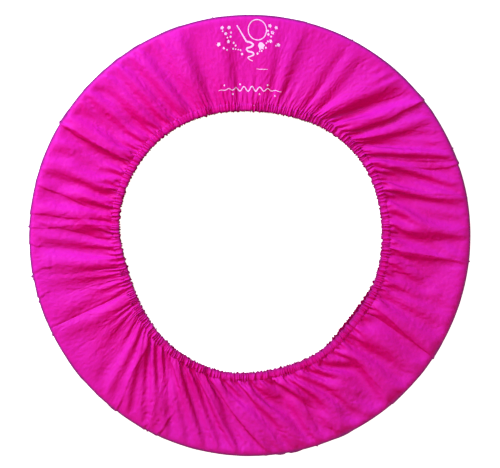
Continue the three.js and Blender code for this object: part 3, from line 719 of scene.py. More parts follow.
thread_objects = [
    hem_stitches("front_hem_stitches", 1, front_casing, "front_hem_thread"),
    hem_stitches("back_hem_stitches", -1, back_casing, "back_hem_thread"),
]
for word in ("right", "left"):
    c = seam_col[word]
    starts, ends, ups = [], [], []
    for side, sheet in ((1, front), (-1, back)):
        n = normals_of(sheet)[:, :, c + 1].T * side
        n *= np.sign((n * [0, 0, side]).sum(1) + 1e-6)[:, None]
        line = (sheet[:, :, c + 1] * 0.55 + sheet[:, :, c + 2] * 0.45).T
        length = np.r_[0, np.cumsum(np.linalg.norm(np.diff(line, axis=0), axis=1))]
        s = np.arange(1.0, length[-1] - 3.0, 3.3)
        pick = lambda q: np.stack([np.interp(q, length, line[:, i]) for i in range(3)], 1)
        nn = np.stack([np.interp(s + 1.2, length, n[:, i]) for i in range(3)], 1)
        starts.append(pick(s) + nn * 0.12)
        ends.append(pick(s + 2.4) + nn * 0.12)
        ups.append(nn)
    ob = stitches(f"{word}_seam_stitches", np.concatenate(starts), np.concatenate(ends), np.concatenate(ups), 0.24)
    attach(ob, "cover")
    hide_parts(f"{word}_seam_thread")
    thread_objects.append(ob)


# ---- elastics -----------------------------------------------------------------------------------------------
def rounded(w, h, e, k=4):
    """Corner-rounded rectangle, as offsets along and up."""
    pts = []
    for cx, cy, a0 in ((w / 2 - e, h / 2 - e, 0), (-w / 2 + e, h / 2 - e, 90), (-w / 2 + e, -h / 2 + e, 180), (w / 2 - e, -h / 2 + e, 270)):
        for i in range(k + 1):
            a = (a0 + 90 * i / k) * DEG
            pts.append((cx + e * math.cos(a), cy + e * math.sin(a)))
    return np.array(pts)


elastic_objects = []
for word, info in (("front", fi), ("back", bi)):
    n = 960
    th = np.arange(n) / n * 2 * math.pi
    mid = opening_r(th, info["side"]) + 7.4
    rng = np.random.default_rng(51 if word == "front" else 52)
    wave = np.interp(th, np.linspace(0, 2 * math.pi, N_U), along_noise(N_U, 60, rng, 0.12))
    wave[-1] = wave[0]
    sec = rounded(8.0, 0.8, 0.3)
    r = mid[None] + sec[:, :1]
    z = info["zc"] + sec[:, 1:] + wave[None]
    V = np.stack([r * np.cos(th), r * np.sin(th), z + 0 * r])
    faces = grid_faces(len(sec), n, close_cols=True, close_rows=True)
    # the lapped end, lying on the band
    a = np.linspace(-61.6, -58.4, 14) * DEG
    rl = (opening_r(a, info["side"]) + 7.4)[None] + rounded(7.6, 0.6, 0.25)[:, :1]
    zl = info["zc"] + 0.72 + rounded(7.6, 0.6, 0.25)[:, 1:] + 0 * rl
    V2 = np.stack([rl * np.cos(a), rl * np.sin(a), zl])
    k = V2.shape[1]
    lap = grid_faces(k, len(a), close_rows=True)
    ends = []
    for col, flip in ((0, False), (len(a) - 1, True)):
        loop = np.arange(k) * len(a) + col
        for i in range(1, k - 2, 2):
            q = [loop[0], loop[i], loop[i + 1], loop[i + 2]]
            ends.append(q if flip else q[::-1])
        if (k - 1) % 2:
            pass
    off = len(sec) * n
    allf = np.concatenate([faces, lap + off, np.array(ends) + off])
    ob = make_mesh(f"{word}_elastic_band", np.concatenate([V.reshape(3, -1).T, V2.reshape(3, -1).T]), allf[:, ::-1])
    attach(ob, "cover")
    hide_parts(f"{word}_elastic")
    elastic_objects.append(ob)
    # a bar of zigzag stitches holds the lap
    rr = np.linspace(-2.9, 2.9, 9)
    mid_a = opening_r(np.array([-60 * DEG]), info["side"])[0] + 7.4
    st, en = [], []
    for i in range(8):
        s0, s1 = (-0.9, 0.9) if i % 2 else (0.9, -0.9)
        for lst, rad, off_t in ((st, rr[i], s0), (en, rr[i + 1], s1)):
            aa = -60 * DEG + off_t / mid_a
            lst.append([(mid_a + rad) * math.cos(aa), (mid_a + rad) * math.sin(aa), info["zc"] + 1.08])
    ob = stitches(f"{word}_elastic_bartack", st, en, np.tile([0, 0, 1.0], (8, 1)), 0.22)
    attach(ob, "cover")
    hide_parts(f"{word}_elastic_tack")
    thread_objects.append(ob)

# ---- the print ----------------------------------------------------------------------------------------------
front_n = normals_of(front)
front_n *= np.where(front_n[2] < 0, -1, 1)
front_r = np.hypot(front[0], front[1])


def on_cloth(x, y, lift):
    """A point of the flat print, x to the right and y from the centre, laid on the front of the cloth."""
    x, y = np.asarray(x, float), np.asarray(y, float)
    v = WRAP_ARC + (RING_R - y) * (V_LEN - WRAP_ARC) / (RING_R - STITCH_R - 13 + 13)
    f = np.clip(v / V_LEN, 0, 1)
    row = np.clip(f * F_ROWS, 0, F_ROWS - 1e-3)
    want = np.arctan2(y, x)
    col = np.array([np.interp(w, fi["th_o"] * (1 - q) + fi["th_i"] * q, np.arange(N_U)) for w, q in zip(want, f)])
    i, j = np.floor(row).astype(int), np.floor(col).astype(int)
    fr, fc = row - i, col - j
    j2 = (j + 1) % N_U
    j = j % N_U
    mix = lambda A: (A[:, i, j] * (1 - fc) + A[:, i, j2] * fc) * (1 - fr) + (A[:, i + 1, j] * (1 - fc) + A[:, i + 1, j2] * fc) * fr
    n = mix(front_n)
    n /= np.linalg.norm(n, axis=0)
    return (mix(front) + n * lift).T


def film(name, outlines, node):
    """Each outline is a list of (left, right) point pairs, a ribbon of film laid on the cloth as a thin closed solid."""
    verts, faces, off = [], [], 0
    for left, right in outlines:
        left, right = np.asarray(left, float), np.asarray(right, float)
        k = len(left)
        low = [on_cloth(p[:, 0], p[:, 1], 0.04) for p in (left, right)]
        top = [on_cloth(p[:, 0], p[:, 1], 0.22) for p in (left + (right - left) * 0.06, right + (left - right) * 0.06)]
        ring = np.stack([low[0], top[0], top[1], low[1]])  # four rails
        verts.append(ring.reshape(-1, 3))
        f = grid_faces(4, k, close_rows=True)
        caps = [[off + 0, off + k, off + 2 * k, off + 3 * k], [off + 3 * k + k - 1, off + 2 * k + k - 1, off + k + k - 1, off + k - 1]]
        faces.append(f[:, ::-1] + off)
        faces.append(np.array(caps))
        off += 4 * k
    ob = make_mesh(name, np.concatenate(verts), np.concatenate(faces), smooth=False)
    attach(ob, "cover")
    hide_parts(node)
    return ob


def smooth_path(points, step=1.1):
    """Evenly spaced points on a Catmull-Rom curve."""
    p = np.array(points, float)
    q = np.concatenate([[2 * p[0] - p[1]], p, [2 * p[-1] - p[-2]]])
    out = []
    for i in range(1, len(q) - 2):
        t = np.linspace(0, 1, 12, endpoint=False)[:, None]
        a, b, c, d = q[i - 1], q[i], q[i + 1], q[i + 2]
        out.append(0.5 * (2 * b + (c - a) * t + (2 * a - 5 * b + 4 * c - d) * t**2 + (3 * b - a - 3 * c + d) * t**3))
    out = np.concatenate(out + [p[-1:]])
    l = np.r_[0, np.cumsum(np.linalg.norm(np.diff(out, axis=0), axis=1))]
    s = np.linspace(0, l[-1], max(3, int(l[-1] / step)))
    return np.stack([np.interp(s, l, out[:, 0]), np.interp(s, l, out[:, 1])], 1)


def ribbon(points, width, taper=(1, 1), belly=0.0, closed=False):
    """A line of varying width: (left, right) rails."""
    p = smooth_path(points) if not closed else np.array(points, float)
    t = np.gradient(p, axis=0)
    if closed:
        t[0] = t[-1] = p[1] - p[-2]
    t /= np.linalg.norm(t, axis=1, keepdims=True)
    n = np.stack([-t[:, 1], t[:, 0]], 1)
    s = np.linspace(0, 1, len(p))
    w = width * (taper[0] * (1 - s) + taper[1] * s + belly * np.sin(math.pi * s))
    return p + n * w[:, None] / 2, p - n * w[:, None] / 2


def spot(x, y, r, points=5, turn=0.0, sharp=0.46):
    """A star or, with sharp at 1, a dot, sliced into a ribbon from left to right."""
    k = 40 if sharp >= 1 else 10 * 4
    a = np.arange(k) / k * 2 * math.pi + turn
    m = (np.arange(k) / k * points) % 1
    m = np.abs(m * 2 - 1)  # 1 at a tip, 0 at a notch
    rad = r * (sharp + (1 - sharp) * m) if sharp < 1 else np.full(k, r)
    rad = rad if sharp >= 1 else r * sharp / np.maximum(sharp, (1 - m) * 0 + (sharp * 1.0 + (1 - m) * (1 - sharp)))
    px, py = x + rad * np.cos(a), y + rad * np.sin(a)
    xs = np.linspace(px.min() + 0.02, px.max() - 0.02, max(6, int(r * 4)))
    up, dn = [], []
    for q in xs:
        ys = []
        for i in range(k):
            x0, y0, x1, y1 = px[i], py[i], px[(i + 1) % k], py[(i + 1) % k]
            if (x0 - q) * (x1 - q) <= 0 and x0 != x1:
                ys.append(y0 + (y1 - y0) * (q - x0) / (x1 - x0))
        up.append((q, max(ys)))
        dn.append((q, min(ys)))
    return np.array(up), np.array(dn)


emblem = []
circle = [(14 + 17.2 * math.cos(a), 393 + 17.5 * math.sin(a)) for a in np.linspace(0, 2 * math.pi, 72)]
emblem.append(ribbon(circle, 1.7, closed=True))
emblem.append(ribbon([(-25, 401), (-16, 387), (-7, 373)], 3.0, (0.6, 1.0)))
emblem.append(ribbon([(-7, 373), (1, 371), (6, 367), (1, 363), (-6, 361), (-4, 356), (4, 354), (7, 350), (1, 347), (-4, 345), (0, 341), (5, 339)], 2.9, (1.0, 0.5), 0.3))
emblem.append(spot(21, 366, 5.6, sharp=1))
stars = [(-53, 399, 3.7, 0), (-40, 398, 3.7, 1), (-46, 388, 3.2, 0), (-60, 371, 4.2, 1), (-41, 374, 3.4, 0),
         (-50, 363, 1.9, 2), (-36, 389, 1.7, 2), (-43, 381, 1.4, 2), (-37, 382, 1.9, 2), (-31, 371, 1.9, 2), (-27, 366, 1.6, 2),
         (-32, 361, 1.7, 2), (-27, 360, 1.3, 2), (-22, 359, 1.2, 2), (-18, 358, 2.0, 1), (-44, 360, 1.5, 2), (-15, 351, 2.0, 2), (-52, 393, 1.4, 2)]
flip = [(38, 401, 3.6, 0), (50, 399, 3.4, 1), (43, 390, 3.6, 0), (39, 375, 3.6, 1), (54, 370, 3.6, 0),
        (34, 392, 1.9, 2), (35, 386, 2.1, 2), (40, 383, 1.7, 2), (34, 374, 1.7, 2), (31, 371, 1.4, 2), (26, 367, 1.8, 2),
        (30, 363, 1.7, 2), (25, 361, 1.4, 2), (19, 360, 1.9, 1), (22, 357, 1.6, 2), (14, 352, 2.0, 2), (49, 368, 1.4, 2), (18, 356, 1.2, 2)]
made = {}
for word, spots in (("left", stars), ("right", flip)):
    out = [spot(x, y, r, 5, (i * 0.7) % 1.3, 1 if kind == 2 else 0.62) for i, (x, y, r, kind) in enumerate(spots)]
    made[word] = film(f"print_star_spray_{word}", out, f"print_stars_{word}")
made["emblem"] = film("print_ring_and_ribbon", emblem, "print_emblem")
curl = []
for x0, x1, rise in ((-62, 62, 4.3),):
    xs = np.linspace(x0, x1, 65)
    ys = 291 + rise * (0.55 + 0.45 * np.cos(math.pi * xs / 62)) * np.sin(2 * math.pi * xs / 15.5)
    curl.append(ribbon(np.stack([xs, ys], 1), 1.7, (0.5, 0.5), 0.6))
for x, y in ((-50, 299), (-34, 282), (-19, 299), (19, 282), (34, 299), (50, 282)):
    curl.append(spot(x, y, 1.5, sharp=1))
curl.append(ribbon([(12, 326), (19, 325.3), (27, 325.6), (34, 326)], 1.1, (0.5, 0.5), 0.5))
made["flourish"] = film("print_curling_line", curl, "print_flourish")


# ---- the hoop -----------------------------------------------------------------------------------------------
def revolve(name, sec, a0, a1, n):
    """A closed section of (radius, z) turned from a0 to a1 degrees about Z; where it doesn't close, its ends are left
    open.
    """
    sec = np.asarray(sec, float)
    full = abs(a1 - a0 - 360) < 1e-6
    th = (np.linspace(a0, a1, n, endpoint=not full)) * DEG
    V = np.stack([sec[:, :1] * np.cos(th), sec[:, :1] * np.sin(th), sec[:, 1:] + 0 * th[None]])
    return V.reshape(3, -1).T, grid_faces(len(sec), n, close_cols=full, close_rows=True)[:, ::-1], len(sec), n


def tube_piece(name, r_out, r_in, a0, a1, n, k=40):
    """A curved tube with both ends open, or a curved rod if r_in is 0."""
    ring = np.arange(k) / k * 2 * math.pi
    th = np.linspace(a0, a1, n) * DEG
    parts, faces = [], []
    bevel = 0.35
    def shell(r, t, sign):
        return np.stack([(RING_R + r * np.cos(ring)) * math.cos(t), (RING_R + r * np.cos(ring)) * math.sin(t), r * np.sin(ring)], 1)
    rows = []
    e = bevel / RING_R
    rows.append(shell(r_out - bevel, th[0], 1))
    rows.append(shell(r_out, th[0] + e, 1))
    for t in th[1:-1]:
        rows.append(shell(r_out, t, 1))
    rows.append(shell(r_out, th[-1] - e, 1))
    rows.append(shell(r_out - bevel, th[-1], 1))
    if r_in > 0:
        rows.append(shell(r_in, th[-1], 1))
        for t in th[1:-1][::-1]:
            rows.append(shell(r_in, t, 1))
        rows.append(shell(r_in, th[0], 1))
    V = np.stack(rows)
    m = len(rows)
    f = grid_faces(m, k, close_cols=True, close_rows=r_in > 0)
    if r_in <= 0:
        caps = []
        for row, rev in ((0, False), (m - 1, True)):
            for i in range(1, k - 2, 2):
                q = [row * k, row * k + i, row * k + i + 1, row * k + i + 2]
                caps.append(q if not rev else q[::-1])
            if k % 2 == 0:
                pass
        f = np.concatenate([f, np.array(caps)])
    return make_mesh(name, V.reshape(-1, 3), f)


def outward(ob):
    """Turns faces outwards on a closed mesh."""
    import bmesh
    bm = bmesh.new()
    bm.from_mesh(ob.data)
    bmesh.ops.recalc_face_normals(bm, faces=bm.faces)
    bm.to_mesh(ob.data)
    bm.free()
    return ob


butt = 0.2 / RING_R / DEG
tube_ob = outward(tube_piece("hoop_ring_tube", TUBE_R, 7.0, -90 + butt, 270 - butt, 361))
plug_ob = outward(tube_piece("hoop_inner_plug", 6.6, 0, -96.3, -83.7, 41))


def lathe(name, profile, k=32):
    """A turned piece along +X from (x, radius) points that start and end on the axis."""
    a = np.arange(k) / k * 2 * math.pi
    V = [[profile[0][0], 0, 0]]
    for x, r in profile[1:-1]:
        V += [[x, r * math.cos(t), r * math.sin(t)] for t in a]
    V.append([profile[-1][0], 0, 0])
    m = len(profile) - 2
    quads = grid_faces(m, k, close_cols=True) + 1
    tris = [[0, 1 + (i + 1) % k, 1 + i] for i in range(k)] + [[len(V) - 1, 1 + (m - 1) * k + i, 1 + (m - 1) * k + (i + 1) % k] for i in range(k)]
    me = bpy.data.meshes.new(name)
    me.from_pydata([tuple(np.array(v) * MM) for v in V], [], [tuple(map(int, q)) for q in quads] + [tuple(map(int, t)) for t in tris])
    me.update()
    me.polygons.foreach_set("use_smooth", np.full(len(me.polygons), True))
    ob = bpy.data.objects.new(name, me)
    bpy.context.scene.collection.objects.link(ob)
    return outward(ob)


def turned(ob, deg_z):
    c, s = math.cos(deg_z * DEG), math.sin(deg_z * DEG)
    co = np.array([v.co for v in ob.data.vertices])
    co = np.stack([co[:, 0] * c - co[:, 1] * s, co[:, 0] * s + co[:, 1] * c, co[:, 2]], 1)
    ob.data.vertices.foreach_set("co", co.astype(np.float32).ravel())
    ob.data.update()
    return ob


X0 = RING_R - TUBE_R - 0.3  # underside of a rivet's head
rivets = {}
for word, a in (("left", -93.6), ("right", -86.4)):
    prof = [(X0 - 0.8, 0), (X0 - 0.79, 0.7), (X0 - 0.7, 1.4), (X0 - 0.5, 2.05), (X0 - 0.25, 2.5), (X0 - 0.08, 2.74), (X0, 2.8), (X0, 1.5), (X0 + 8.6, 1.5), (X0 + 9.0, 1.1), (X0 + 9.0, 0)]
    ob = turned(lathe(f"hoop_rivet_{word}", prof), a)
    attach(ob, "hoop")
    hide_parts(f"joint_rivet_{word}")
    rivets[word] = ob
    drill = turned(lathe(f"drill_{word}", [(X0 - 6, 0), (X0 - 6, 1.8), (X0 + 9.4, 1.8), (X0 + 9.4, 0)]), a)
    for target in (tube_ob, plug_ob):
        mod = target.modifiers.new("hole", "BOOLEAN")
        mod.operation, mod.object, mod.solver = "DIFFERENCE", drill, "EXACT"
        dg = bpy.context.evaluated_depsgraph_get()
        cut = bpy.data.meshes.new_from_object(target.evaluated_get(dg))
        target.modifiers.clear()
        if len(cut.polygons) > 0.9 * len(target.data.polygons):
            target.data = cut
    bpy.data.objects.remove(drill)
for ob, node, s in ((tube_ob, "hoop_tube", "hoop_plastic"), (plug_ob, "joint_plug", "plug_plastic")):
    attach(ob, "hoop")
    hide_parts(node)
    ob.data.polygons.foreach_set("use_smooth", np.full(len(ob.data.polygons), True))

# tape: one turn and a bit of lap, wound round the tube's section
k = 96
rows_n = 14
turn = np.linspace(-0.25, 2 * math.pi + 0.55, k)
rad = 9.32 + 0.16 * np.clip(turn / (2 * math.pi) - 0.98, 0, 0.06) / 0.06
aa = np.linspace(-91.8, -88.2, rows_n) * DEG
outer = np.stack([[((RING_R + (rad + 0.15) * np.cos(turn + 1.9))) * math.cos(a), ((RING_R + (rad + 0.15) * np.cos(turn + 1.9))) * math.sin(a), (rad + 0.15) * np.sin(turn + 1.9)] for a in aa])
inner = np.stack([[((RING_R + rad * np.cos(turn + 1.9))) * math.cos(a), ((RING_R + rad * np.cos(turn + 1.9))) * math.sin(a), rad * np.sin(turn + 1.9)] for a in aa])
V = np.concatenate([outer.transpose(0, 2, 1), inner.transpose(0, 2, 1)[::-1]])
f = grid_faces(2 * rows_n, k, close_rows=True)
caps = []
for col in (0, k - 1):
    for i in range(rows_n - 1):
        q = [i * k + col, (i + 1) * k + col, (2 * rows_n - 2 - i) * k + col, (2 * rows_n - 1 - i) * k + col]
        caps.append(q)
tape_ob = outward(make_mesh("hoop_joint_tape", V.reshape(-1, 3), np.concatenate([f, np.array(caps)])))
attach(tape_ob, "hoop")
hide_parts("joint_tape")


# ---- materials ----------------------------------------------------------------------------------------------
def material(name):
    m = bpy.data.materials.new(name)
    m.use_nodes = True
    nt = m.node_tree
    nt.nodes.clear()
    out = nt.nodes.new("ShaderNodeOutputMaterial")
    return m, nt, out


class Nodes:
    """A short way to write a node tree."""

    def __init__(self, nt):
        self.nt = nt

    def add(self, kind, inputs=None, **props):
        n = self.nt.nodes.new(kind)
        for k, v in props.items():
            setattr(n, k, v)
        for k, v in (inputs or {}).items():
            if isinstance(v, bpy.types.NodeSocket):
                self.nt.links.new(v, n.inputs[k])
            else:
                n.inputs[k].default_value = v
        return n

    def math(self, op, a, b=0.0, clamp=False):
        n = self.nt.nodes.new("ShaderNodeMath")
        n.operation, n.use_clamp = op, clamp
        for i, v in enumerate((a, b)):
            if isinstance(v, bpy.types.NodeSocket):
                self.nt.links.new(v, n.inputs[i])
            else:
                n.inputs[i].default_value = v
        return n.outputs[0]

    def mix(self, fac, a, b):
        n = self.nt.nodes.new("ShaderNodeMix")
        n.data_type = "RGBA"
        for i, v in ((0, fac), (6, a), (7, b)):
            if isinstance(v, bpy.types.NodeSocket):
                self.nt.links.new(v, n.inputs[i])
            else:
                n.inputs[i].default_value = v
        return n.outputs[2]

    def noise(self, vec, scale, detail=3.0, rough=0.5, dist=0.0):
        n = self.add("ShaderNodeTexNoise", {"Vector": vec, "Scale": scale, "Detail": detail, "Roughness": rough, "Distortion": dist})
        return n.outputs["Fac"]

    def ramp(self, fac, lo, hi):
        n = self.add("ShaderNodeMapRange", {"Value": fac, "From Min": lo, "From Max": hi})
        return n.outputs["Result"]


# CLOTH_DEEP and CLOTH_PALE are the cloth in painted shade and painted light (CLOTH_PALE also serves for slubs and worn
# creases, CLOTH_DEEP for the weave); CLOTH_EDGE and CLOTH_EDGE_FAR are painted shade on the rim
CLOTH = (0.80, 0.0050, 0.37, 1)
CLOTH_DEEP = (0.75, 0.0008, 0.18, 1)
CLOTH_PALE = (0.81, 0.0110, 0.54, 1)
CLOTH_EDGE = (0.17, 0.004, 0.13, 1)
CLOTH_EDGE_FAR = (0.32, 0.006, 0.25, 1)


def taffeta():
    m, nt, out = material("magenta_taffeta")
    N = Nodes(nt)
    uv = N.add("ShaderNodeUVMap", uv_map="cloth").outputs[0]
    sep = N.add("ShaderNodeSeparateXYZ", {"Vector": uv})
    # plain weave: warp and weft threads 0.28 mm apart, over and under
    wave = lambda s: N.math("SINE", N.math("MULTIPLY", s, 2 * math.pi / 0.00056))
    warp, weft = wave(sep.outputs[0]), wave(sep.outputs[1])
    weave = N.math("MULTIPLY", warp, weft)
    threads = N.math("ADD", N.math("ABSOLUTE", warp), N.math("ABSOLUTE", weft))
    geo = N.add("ShaderNodeNewGeometry")
    pos = geo.outputs["Position"]
    stretch = N.add("ShaderNodeMapping", {"Vector": uv, "Scale": (1.0, 0.12, 1.0)}).outputs[0]
    slub = N.noise(stretch, 900.0, 2.0)
    crumple = N.noise(uv, 55.0, 4.0, 0.6, 0.6)
    crumple2 = N.noise(N.add("ShaderNodeMapping", {"Vector": uv, "Scale": (1.0, 0.35, 1.0)}).outputs[0], 140.0, 3.0, 0.55, 0.4)
    cloud = N.noise(uv, 14.0, 3.0, 0.6)
    # painted light and shade: the cloth's colour goes crimson on slopes that face away from the key light at the upper
    # left and pale bluish pink on slopes that face it, with some random tone from noise
    out_v = N.math("ABSOLUTE", sep.outputs[1])
    on_rim = N.ramp(out_v, 0.017, 0.007)
    on_rim = N.math("MINIMUM", N.math("MAXIMUM", on_rim, 0.0), 1.0)
    on_fold = N.ramp(N.math("ABSOLUTE", N.math("SUBTRACT", out_v, (V_LEN + 17.0) * MM)), 0.0078, 0.0020)
    on_fold = N.math("MINIMUM", N.math("MAXIMUM", on_fold, 0.0), 1.0)
    dot = N.add("ShaderNodeVectorMath", {0: geo.outputs["Normal"], 1: (-0.36, 0.80, 0.0)}, operation="DOT_PRODUCT").outputs["Value"]
    away = N.math("SUBTRACT", 0.45, dot)
    # on the rim the painted shade of the slopes is mostly left out, and the rim's side away from the key light is
    # painted paler
    dot = N.math("MULTIPLY", dot, N.math("SUBTRACT", 1.0, N.math("MULTIPLY", on_rim, 0.90)))
    nz = N.math("ABSOLUTE", N.add("ShaderNodeSeparateXYZ", {"Vector": geo.outputs["Normal"]}).outputs[2])
    painted_light_level = N.math("ADD", dot, N.math("MULTIPLY", N.math("MAXIMUM", nz, N.math("MULTIPLY", on_rim, 0.9)), 0.50))
    painted_light_level = N.math("ADD", painted_light_level, N.math("MULTIPLY", N.math("MULTIPLY", on_rim, away), 0.34))
    painted_light_level = N.math("ADD", painted_light_level, N.math("MULTIPLY", N.math("SUBTRACT", crumple, 0.5), 0.35))
    painted_light_level = N.math("ADD", painted_light_level, N.math("MULTIPLY", N.math("SUBTRACT", N.noise(uv, 6.0, 2.0), 0.5), 0.75))
    # painted shade: darker and redder towards the hem, where the gathers crowd together
    hemward = N.math("MINIMUM", N.math("MAXIMUM", N.ramp(out_v, 0.020, V_LEN * MM), 0.0), 1.0)
    painted_light_level = N.math("ADD", painted_light_level, N.math("MULTIPLY", N.math("SUBTRACT", 0.42, hemward), 0.30))
    lean = N.math("MINIMUM", N.math("MAXIMUM", N.ramp(painted_light_level, 0.0, 1.0), 0.0), 1.0)
    lower = N.mix(N.math("MINIMUM", N.ramp(lean, 0.0, 0.5), 1.0), CLOTH_DEEP, CLOTH)
    base = N.mix(N.math("MAXIMUM", N.ramp(lean, 0.5, 1.0), 0.0), lower, CLOTH_PALE)
    base = N.mix(N.math("MULTIPLY", N.ramp(cloud, 0.35, 0.7), 0.12), base, (0.83, 0.008, 0.42, 1))
    base = N.mix(N.math("MULTIPLY", N.ramp(slub, 0.45, 0.75), 0.10), base, CLOTH_PALE)
    base = N.mix(N.math("MULTIPLY", N.ramp(N.math("MULTIPLY", weave, -1.0), -0.2, 1.0), 0.10), base, CLOTH_DEEP)
    # painted shade: cloth seen edge on is painted darker, and a dark line is painted along the rim and along the fold
    # of the hem; the rim's line is darker on the side that faces the key light
    facing = N.add("ShaderNodeLayerWeight", {"Blend": 0.5}).outputs["Facing"]
    steep = N.math("MINIMUM", N.math("MAXIMUM", N.ramp(facing, 0.45, 0.95), 0.0), 1.0)
    base = N.mix(N.math("MULTIPLY", steep, 0.6), base, (0.45, 0.0008, 0.085, 1))
    edge = N.math("MINIMUM", N.math("MAXIMUM", N.ramp(facing, 0.14, 0.50), 0.0), 1.0)
    far = N.math("MINIMUM", N.math("MAXIMUM", N.ramp(away, -0.25, 1.2), 0.0), 1.0)
    line = N.math("SUBTRACT", facing, N.math("MULTIPLY", N.math("SUBTRACT", far, 0.6), 0.13))
    line = N.math("MINIMUM", N.math("MAXIMUM", N.ramp(line, 0.12, 0.46), 0.0), 1.0)
    base = N.mix(N.math("MULTIPLY", line, on_rim), base, N.mix(far, CLOTH_EDGE, CLOTH_EDGE_FAR))
    base = N.mix(N.math("MULTIPLY", on_fold, N.math("ADD", 0.82, N.math("MULTIPLY", edge, 0.1))), base, (0.23, 0.003, 0.085, 1))
    # the cloth's wrong side, where the back hem shows inside the front one, is dull, and is painted dark as painted
    # shade under the front hem
    up = N.add("ShaderNodeSeparateXYZ", {"Vector": geo.outputs["Normal"]}).outputs[2]
    under = N.math("MULTIPLY", N.math("LESS_THAN", sep.outputs[1], -0.03), N.math("GREATER_THAN", up, 0.12))
    base = N.mix(N.math("MULTIPLY", under, 0.92), base, (0.27, 0.0008, 0.050, 1))
    # worn pale on the sharpest creases
    point = N.ramp(geo.outputs["Pointiness"], 0.505, 0.54)
    base = N.mix(N.math("MULTIPLY", N.math("MINIMUM", point, 1.0, True), N.math("MULTIPLY", N.math("SUBTRACT", 1.0, under), 0.12)), base, CLOTH_PALE)
    rough = N.add("ShaderNodeMapRange", {"Value": crumple, "From Min": 0.3, "From Max": 0.7, "To Min": 0.50, "To Max": 0.64}).outputs[0]
    b1 = N.add("ShaderNodeBump", {"Height": crumple, "Strength": 0.7, "Distance": 0.0026})
    b2 = N.add("ShaderNodeBump", {"Height": crumple2, "Strength": 0.6, "Distance": 0.0010, "Normal": b1.outputs[0]})
    b3 = N.add("ShaderNodeBump", {"Height": N.math("ADD", weave, N.math("MULTIPLY", threads, 0.4)), "Strength": 0.12, "Distance": 0.00006, "Normal": b2.outputs[0]})
    # the specular level follows the painted light: higher on slopes that face the key light, low on the painted dark
    # wrong side
    p = N.add("ShaderNodeBsdfPrincipled", {"Base Color": base, "Roughness": rough, "Specular IOR Level": N.math("MULTIPLY", N.add("ShaderNodeMapRange", {"Value": lean, "From Max": 0.45, "To Min": 0.015, "To Max": 0.12}).outputs[0], N.math("SUBTRACT", 1.0, under)), "Sheen Weight": N.math("MULTIPLY", N.math("SUBTRACT", 1.0, under), 0.05), "Sheen Roughness": 0.4, "Sheen Tint": (1.0, 0.25, 0.9, 1), "Normal": b3.outputs[0]})
    tr = N.add("ShaderNodeBsdfTranslucent", {"Color": (0.72, 0.001, 0.16, 1), "Normal": b2.outputs[0]})
    mx = N.add("ShaderNodeMixShader", {0: 0.16, 1: p.outputs[0], 2: tr.outputs[0]})
    nt.links.new(mx.outputs[0], out.inputs[0])
    return m


def thread_finish():
    m, nt, out = material("magenta_thread")
    N = Nodes(nt)
    pos = N.add("ShaderNodeNewGeometry").outputs["Position"]
    twist = N.noise(pos, 2600.0, 2.0)
    base = N.mix(twist, (0.60, 0.004, 0.23, 1), (0.80, 0.010, 0.36, 1))
    b = N.add("ShaderNodeBump", {"Height": twist, "Strength": 0.5, "Distance": 0.0001})
    p = N.add("ShaderNodeBsdfPrincipled", {"Base Color": base, "Roughness": 0.62, "Specular IOR Level": 0.10, "Sheen Weight": 0.03, "Normal": b.outputs[0]})
    nt.links.new(p.outputs[0], out.inputs[0])
    return m


def film_finish():
    m, nt, out = material("heat_pressed_film")
    N = Nodes(nt)
    pos = N.add("ShaderNodeNewGeometry").outputs["Position"]
    fleck = N.noise(pos, 700.0, 3.0, 0.6)
    broad = N.noise(pos, 90.0, 2.0)
    base = N.mix(N.math("MULTIPLY", N.ramp(fleck, 0.52, 0.72), 0.35), (0.90, 0.60, 0.86, 1), (0.84, 0.20, 0.66, 1))
    base = N.mix(N.math("MULTIPLY", broad, 0.25), base, (0.93, 0.74, 0.92, 1))
    crack = N.add("ShaderNodeTexVoronoi", {"Vector": pos, "Scale": 520.0}, feature="DISTANCE_TO_EDGE")
    line = N.add("ShaderNodeMapRange", {"Value": crack.outputs["Distance"], "From Min": 0.0, "From Max": 0.05, "To Min": 0.0, "To Max": 1.0})
    b = N.add("ShaderNodeBump", {"Height": line.outputs[0], "Strength": 0.25, "Distance": 0.00008})
    p = N.add("ShaderNodeBsdfPrincipled", {"Base Color": base, "Roughness": 0.38, "Normal": b.outputs[0]})
    nt.links.new(p.outputs[0], out.inputs[0])
    return m


def elastic_finish():
    m, nt, out = material("woven_elastic")
    N = Nodes(nt)
    pos = N.add("ShaderNodeNewGeometry").outputs["Position"]
    sep = N.add("ShaderNodeSeparateXYZ", {"Vector": pos})
    rad = N.math("SQRT", N.math("ADD", N.math("MULTIPLY", sep.outputs[0], sep.outputs[0]), N.math("MULTIPLY", sep.outputs[1], sep.outputs[1])))
    ang = N.math("ARCTAN2", sep.outputs[1], sep.outputs[0])
    cords = N.math("SINE", N.math("MULTIPLY", rad, 2 * math.pi / 0.0010))
    ribs = N.math("SINE", N.math("MULTIPLY", ang, 2600.0))
    h = N.math("ADD", N.math("ABSOLUTE", cords), N.math("MULTIPLY", ribs, 0.35))
    grime = N.noise(pos, 60.0, 3.0)
    # painted shade: darker in the hollows between the cords
    base = N.mix(N.math("MULTIPLY", N.ramp(h, 0.2, 1.2), 1.0), (0.52, 0.51, 0.49, 1), (0.84, 0.83, 0.81, 1))
    base = N.mix(N.math("MULTIPLY", grime, 0.2), base, (0.70, 0.66, 0.62, 1))
    b = N.add("ShaderNodeBump", {"Height": h, "Strength": 0.6, "Distance": 0.00015})
    p = N.add("ShaderNodeBsdfPrincipled", {"Base Color": base, "Roughness": 0.85, "Sheen Weight": 0.3, "Normal": b.outputs[0]})
    nt.links.new(p.outputs[0], out.inputs[0])
    return m


